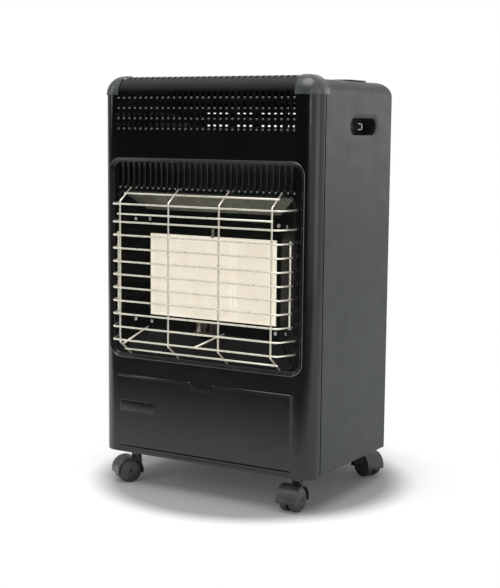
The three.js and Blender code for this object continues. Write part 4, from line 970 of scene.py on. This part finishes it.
def guard_mesh(radius, bend):
    """Columns behind, rows in front, short wires, side ties and stays, as in the frame."""
    front = FRONT - 30 * MM
    behind = front + 2.8 * MM                 # the columns, one wire behind the rows
    foot = SURROUND_FRONT - 0.3 * MM
    top = RECESS_TOP - 56.5 * MM              # of the burner aperture
    bottom = top - 273.5 * MM
    outer = 148.5 * MM                        # outermost column
    upper_bend, lower_bend = top - 15.5 * MM, bottom + 18 * MM
    upper_foot, lower_foot = top + 6.5 * MM, bottom - 6 * MM
    rows = [top - 49.9 * MM - i * 22.42 * MM for i in range(10)]
    bend_x, foot_x = 161 * MM, 175.5 * MM
    tie_share = 0.78                          # of a row's end, from its bend to its foot
    tie_x = bend_x + (foot_x - bend_x) * tie_share
    tie_y = front + (foot - front) * tie_share

    def build(shape):
        for x in (-outer, -outer / 3, outer / 3, outer):
            add_wire(shape, ((x, foot, upper_foot), (x, behind, upper_bend),
                             (x, behind, lower_bend), (x, foot, lower_foot)), radius, 4 * MM)
        ends = [(upper_bend - 4 * MM, foot_x, foot)]
        for i, z in enumerate(rows):
            tied = (z, tie_x, tie_y + 1.8 * MM)
            ends.append((z, foot_x, foot) if i in (0, 8, 9) else tied)
        for z, end_x, end_y in ends:
            add_wire(shape, ((-end_x, end_y, z), (-bend_x, front, z), (bend_x, front, z),
                             (end_x, end_y, z)), radius, bend)
        for side in (-1, 1):
            x = side * (tie_x - 2.8 * MM)
            add_wire(shape, ((x, tie_y, rows[1] + 3 * MM), (x, tie_y, rows[7] - 3 * MM)), radius)
        reach = outer + 3 * MM
        upper_z = (upper_bend + upper_foot) / 2 + 2 * MM
        lower_z = (lower_bend + lower_foot) / 2 - 3 * MM
        slope = foot + 3.2 * MM - behind
        shorts = [(rows[0] + 13.6 * MM, front),
                  (upper_z, front + (upper_z - upper_bend) / (upper_foot - upper_bend) * slope),
                  (lower_z, front + (lower_z - lower_bend) / (lower_foot - lower_bend) * slope)]
        for z, y in shorts:
            add_wire(shape, ((-reach, y, z), (reach, y, z)), radius)
        stay_y = FRAME_LOW.y - 0.3 * MM - radius
        stay_z = FRAME_LOW.z + 4 * MM
        for start, end_x in (
                ((-outer + 1 * MM, behind + 8 * MM, rows[9] - 8 * MM), FRAME_LOW.x + 5 * MM),
                ((4 * MM, front + 1.2 * MM, rows[9]), 26 * MM)):
            add_wire(shape, (start, (end_x, stay_y, stay_z)), radius)
    return mesh_from(build, "guard_wires", weld=0)


# ------------------------ pieces: castors
class HEATER_OT_castors(bpy.types.Operator):
    """Twin-wheel castors"""
    bl_idname = "heater.castors"
    bl_label = "Castors"

    def execute(self, context):
        for place in PLACES:
            for node, body, slot, finish in (
                    (f"castor_stem_{place}", "cabinet", "steel", "zinc"),
                    (f"castor_hood_{place}", f"castor_{place}", "wheel", "castor"),
                    (f"castor_axle_{place}", f"castor_{place}", "steel", "blackened steel"),
                    (f"castor_wheel_{place}_inner", f"wheel_{place}_inner", "wheel", "tread"),
                    (f"castor_wheel_{place}_outer", f"wheel_{place}_outer", "wheel", "tread")):
                node_piece(node, "made", 0.6 * MM, body, finish)
        return {"FINISHED"}


# ------------------------ pieces: controls
class HEATER_OT_controls(bpy.types.Operator):
    """Control well, knob, spindle and igniter"""
    bl_idname = "heater.controls"
    bl_label = "Controls"

    def execute(self, context):
        for node, body, slot, finish in (
                ("control_tray", "cabinet", "black_plastic", "black plastic"),
                ("control_knob", "control_knob", "black_plastic", "black plastic"),
                ("valve_spindle", "valve_spindle", "steel", "zinc"),
                ("igniter_body", "cabinet", "black_plastic", "black plastic"),
                ("igniter_button", "igniter_button", "grey_plastic", "cap")):
            node_piece(node, "made", 0.5 * MM, body, finish)
        return {"FINISHED"}


# ------------------------ stage
def camera_matrix():
    """The camera's place and turn, solved from the photograph's perspective."""
    yaw, pitch, roll = 0.539336707674482, 0.12786926471143104, 0.00968833720134359
    forward = Vector((-math.sin(yaw) * math.cos(pitch), math.cos(yaw) * math.cos(pitch),
                      -math.sin(pitch)))
    right = Vector((math.cos(yaw), math.sin(yaw), 0))
    up = right.cross(forward)
    right_turned = right * math.cos(roll) + up * math.sin(roll)
    up_turned = up * math.cos(roll) - right * math.sin(roll)
    turn = Matrix((right_turned, up_turned, -forward)).transposed()
    return Matrix.Translation(Vector((1.17335, -1.9698, 0.6284))) @ turn.to_4x4()


class HEATER_OT_stage(bpy.types.Operator):
    """Pale floor, soft lamps, white world and the camera"""
    bl_idname = "heater.stage"
    bl_label = "Stage"

    def execute(self, context):
        scene = context.scene
        stage = scene.heater_stage
        data = bpy.data.cameras.new("Camera")
        data.lens = stage.lens
        data.clip_end = 50
        camera = linked("Camera", data)
        camera.matrix_world = camera_matrix()
        scene.camera = camera

        def ground(shape):
            bmesh.ops.create_circle(shape, cap_ends=True, radius=3.0, segments=64)
        floor = linked("floor", mesh_from(ground, "floor"))
        floor.data.materials.append(self.floor_material())
        self.world(scene)
        sun = bpy.data.lights.new("Soft daylight", "SUN")
        sun.energy = stage.daylight
        sun.angle = math.radians(50)
        self.hang(sun, (0.2, -0.7, 2.6), (0, 0, 0))
        for name, place, size, power in (
                ("Left window", (-2.6, -1.2, 1.5), (0.8, 1.8), 10),
                ("Side window", (2.3, -0.1, 0.85), (1.0, 1.5), 5),
                ("Back window", (1.5, 2.2, 0.95), (1.0, 1.1), 6),
                ("Strip", (1.75, -1.8, 1.15), (0.1, 1.1), 4),
                ("Front window", (-0.6, -2.6, 1.2), (1.8, 1.4), stage.fill)):
            window = bpy.data.lights.new(name, "AREA")
            window.shape = "RECTANGLE"
            window.size, window.size_y = size
            window.energy = power
            lamp = self.hang(window, place, (0, 0, 0.4))
            lamp.visible_glossy = name != "Front window"
        scene.view_settings.view_transform = "Standard"
        return {"FINISHED"}

    def floor_material(self):
        """Plain white away from the heater to the camera, a painted shadow round it, and a floor
        painted dim ahead, as shade, to the rest.
        """
        made, tree, principled = new_surface("Pale floor")
        principled.inputs["Roughness"].default_value = 0.8
        place = tree.nodes.new("ShaderNodeTexCoord").outputs["Object"]
        length = new_node(tree, "ShaderNodeVectorMath", {0: place}, operation="LENGTH")
        reach = length.outputs["Value"]
        axes = new_node(tree, "ShaderNodeSeparateXYZ", {0: place})
        path = tree.nodes.new("ShaderNodeLightPath").outputs
        # Painted shade: to every ray but the camera's, the floor ahead of the heater darkens to a
        # dim grey, standing in for its light falling off away from the heater, as the gloss
        # reflects it.
        ahead = remap_node(tree, axes.outputs["Y"], -0.45, -0.95, 0.0, 1.0)
        unseen = math_node(tree, "SUBTRACT", 1.0, path["Is Camera Ray"])
        # Painted shadow: within about 0.3 m of the heater's middle, the floor's own colour turns
        # from pale to a dark grey, standing in for its drop shadow.
        clear_of_painted_shadow = remap_node(tree, reach, 0.24, 0.3, 0.0, 1.0)
        floor_with_painted_shadow = mix_colour(tree, clear_of_painted_shadow, (0.26, 0.26, 0.26), (0.8, 0.8, 0.8))
        dimmed = mix_colour(tree, math_node(tree, "MULTIPLY", ahead, unseen), floor_with_painted_shadow,
                            (0.03, 0.03, 0.03))
        tree.links.new(dimmed, principled.inputs["Base Color"])
        seen = math_node(tree, "MAXIMUM", path["Is Camera Ray"], path["Is Transmission Ray"])
        clear = remap_node(tree, reach, 0.26, 0.38, 0.04, 1.0)
        white = tree.nodes.new("ShaderNodeEmission")
        mixed = mix_shader(tree, math_node(tree, "MULTIPLY", seen, clear),
                           principled.outputs[0], white.outputs[0])
        tree.links.new(mixed, tree.nodes["Material Output"].inputs["Surface"])
        return made

    def world(self, scene):
        """White to the camera and a plain room to the light, with a world of its own for gloss.

        Gloss sees white behind, beside and above the heater, and a dim room elsewhere."""
        scene.world = bpy.data.worlds.new("Studio")
        scene.world.use_nodes = True
        tree = scene.world.node_tree
        room = tree.nodes["Background"]
        room.inputs["Strength"].default_value = scene.heater_stage.room
        room.inputs["Color"].default_value = (0.62, 0.64, 0.63, 1)
        ray = tree.nodes.new("ShaderNodeTexCoord").outputs["Generated"]
        direction = new_node(tree, "ShaderNodeSeparateXYZ", {0: ray}).outputs
        behind = remap_node(tree, direction["Y"], -0.2, 0.6, 0.0, 1.0)
        level = remap_node(tree, direction["Z"], -0.3, -0.08, 0.0, 1.0)
        above = remap_node(tree, direction["Z"], 0.3, 0.95, 0.0, 1.0)
        beside = remap_node(tree, direction["X"], 0.5, 0.8, 0.0, 1.0)
        around = math_node(tree, "MAXIMUM", behind, beside)
        backdrop = math_node(tree, "MAXIMUM", math_node(tree, "MULTIPLY", around, level), above)
        tone = mix_colour(tree, backdrop, (0.012, 0.014, 0.012), (1.0, 1.0, 1.0))
        gloss = new_node(tree, "ShaderNodeBackground", {"Color": tone})
        white = new_node(tree, "ShaderNodeBackground", {"Color": (1, 1, 1)})
        path = tree.nodes.new("ShaderNodeLightPath").outputs
        shiny = mix_shader(tree, path["Is Glossy Ray"], room.outputs[0], gloss.outputs[0])
        seen = math_node(tree, "MAXIMUM", path["Is Camera Ray"], path["Is Transmission Ray"])
        tree.links.new(mix_shader(tree, seen, shiny, white.outputs[0]),
                       tree.nodes["World Output"].inputs["Surface"])

    def hang(self, data, place, aim):
        lamp = linked(data.name, data)
        lamp.location = place
        lamp.rotation_euler = (Vector(aim) - Vector(place)).to_track_quat("-Z", "Y").to_euler()
        lamp.visible_camera = False
        return lamp


# ------------------------ panel and registration
class HEATER_PT_panel(bpy.types.Panel):
    """Lists the heater's pieces"""
    bl_idname = "HEATER_PT_panel"
    bl_label = "Gas cabinet heater"
    bl_space_type = "VIEW_3D"
    bl_region_type = "UI"
    bl_category = "Heater"

    def draw(self, context):
        for operator in OPERATORS:
            self.layout.operator(operator.bl_idname)


OPERATORS = (
    HEATER_OT_stage, HEATER_OT_fascia, HEATER_OT_surround, HEATER_OT_caps, HEATER_OT_cabinet,
    HEATER_OT_plate, HEATER_OT_plaques, HEATER_OT_burner, HEATER_OT_guard, HEATER_OT_castors,
    HEATER_OT_controls,
)
GROUPED_SIZES = {
    "heater_grille": HeaterGrille, "heater_guard": HeaterGuard,
    "heater_plaques": HeaterPlaques, "heater_paint": HeaterPaint, "heater_stage": HeaterStage,
}


def register():
    for item in (*GROUPED_SIZES.values(), *OPERATORS, HEATER_PT_panel):
        bpy.utils.register_class(item)
    for name, group in GROUPED_SIZES.items():
        setattr(bpy.types.Scene, name, PointerProperty(type=group))


def unregister():
    for name in GROUPED_SIZES:
        delattr(bpy.types.Scene, name)
    for item in reversed((*GROUPED_SIZES.values(), *OPERATORS, HEATER_PT_panel)):
        bpy.utils.unregister_class(item)


def main():
    register()
    for operator in OPERATORS:
        group, name = operator.bl_idname.split(".")
        getattr(getattr(bpy.ops, group), name)()


if __name__ == "__main__":
    main()
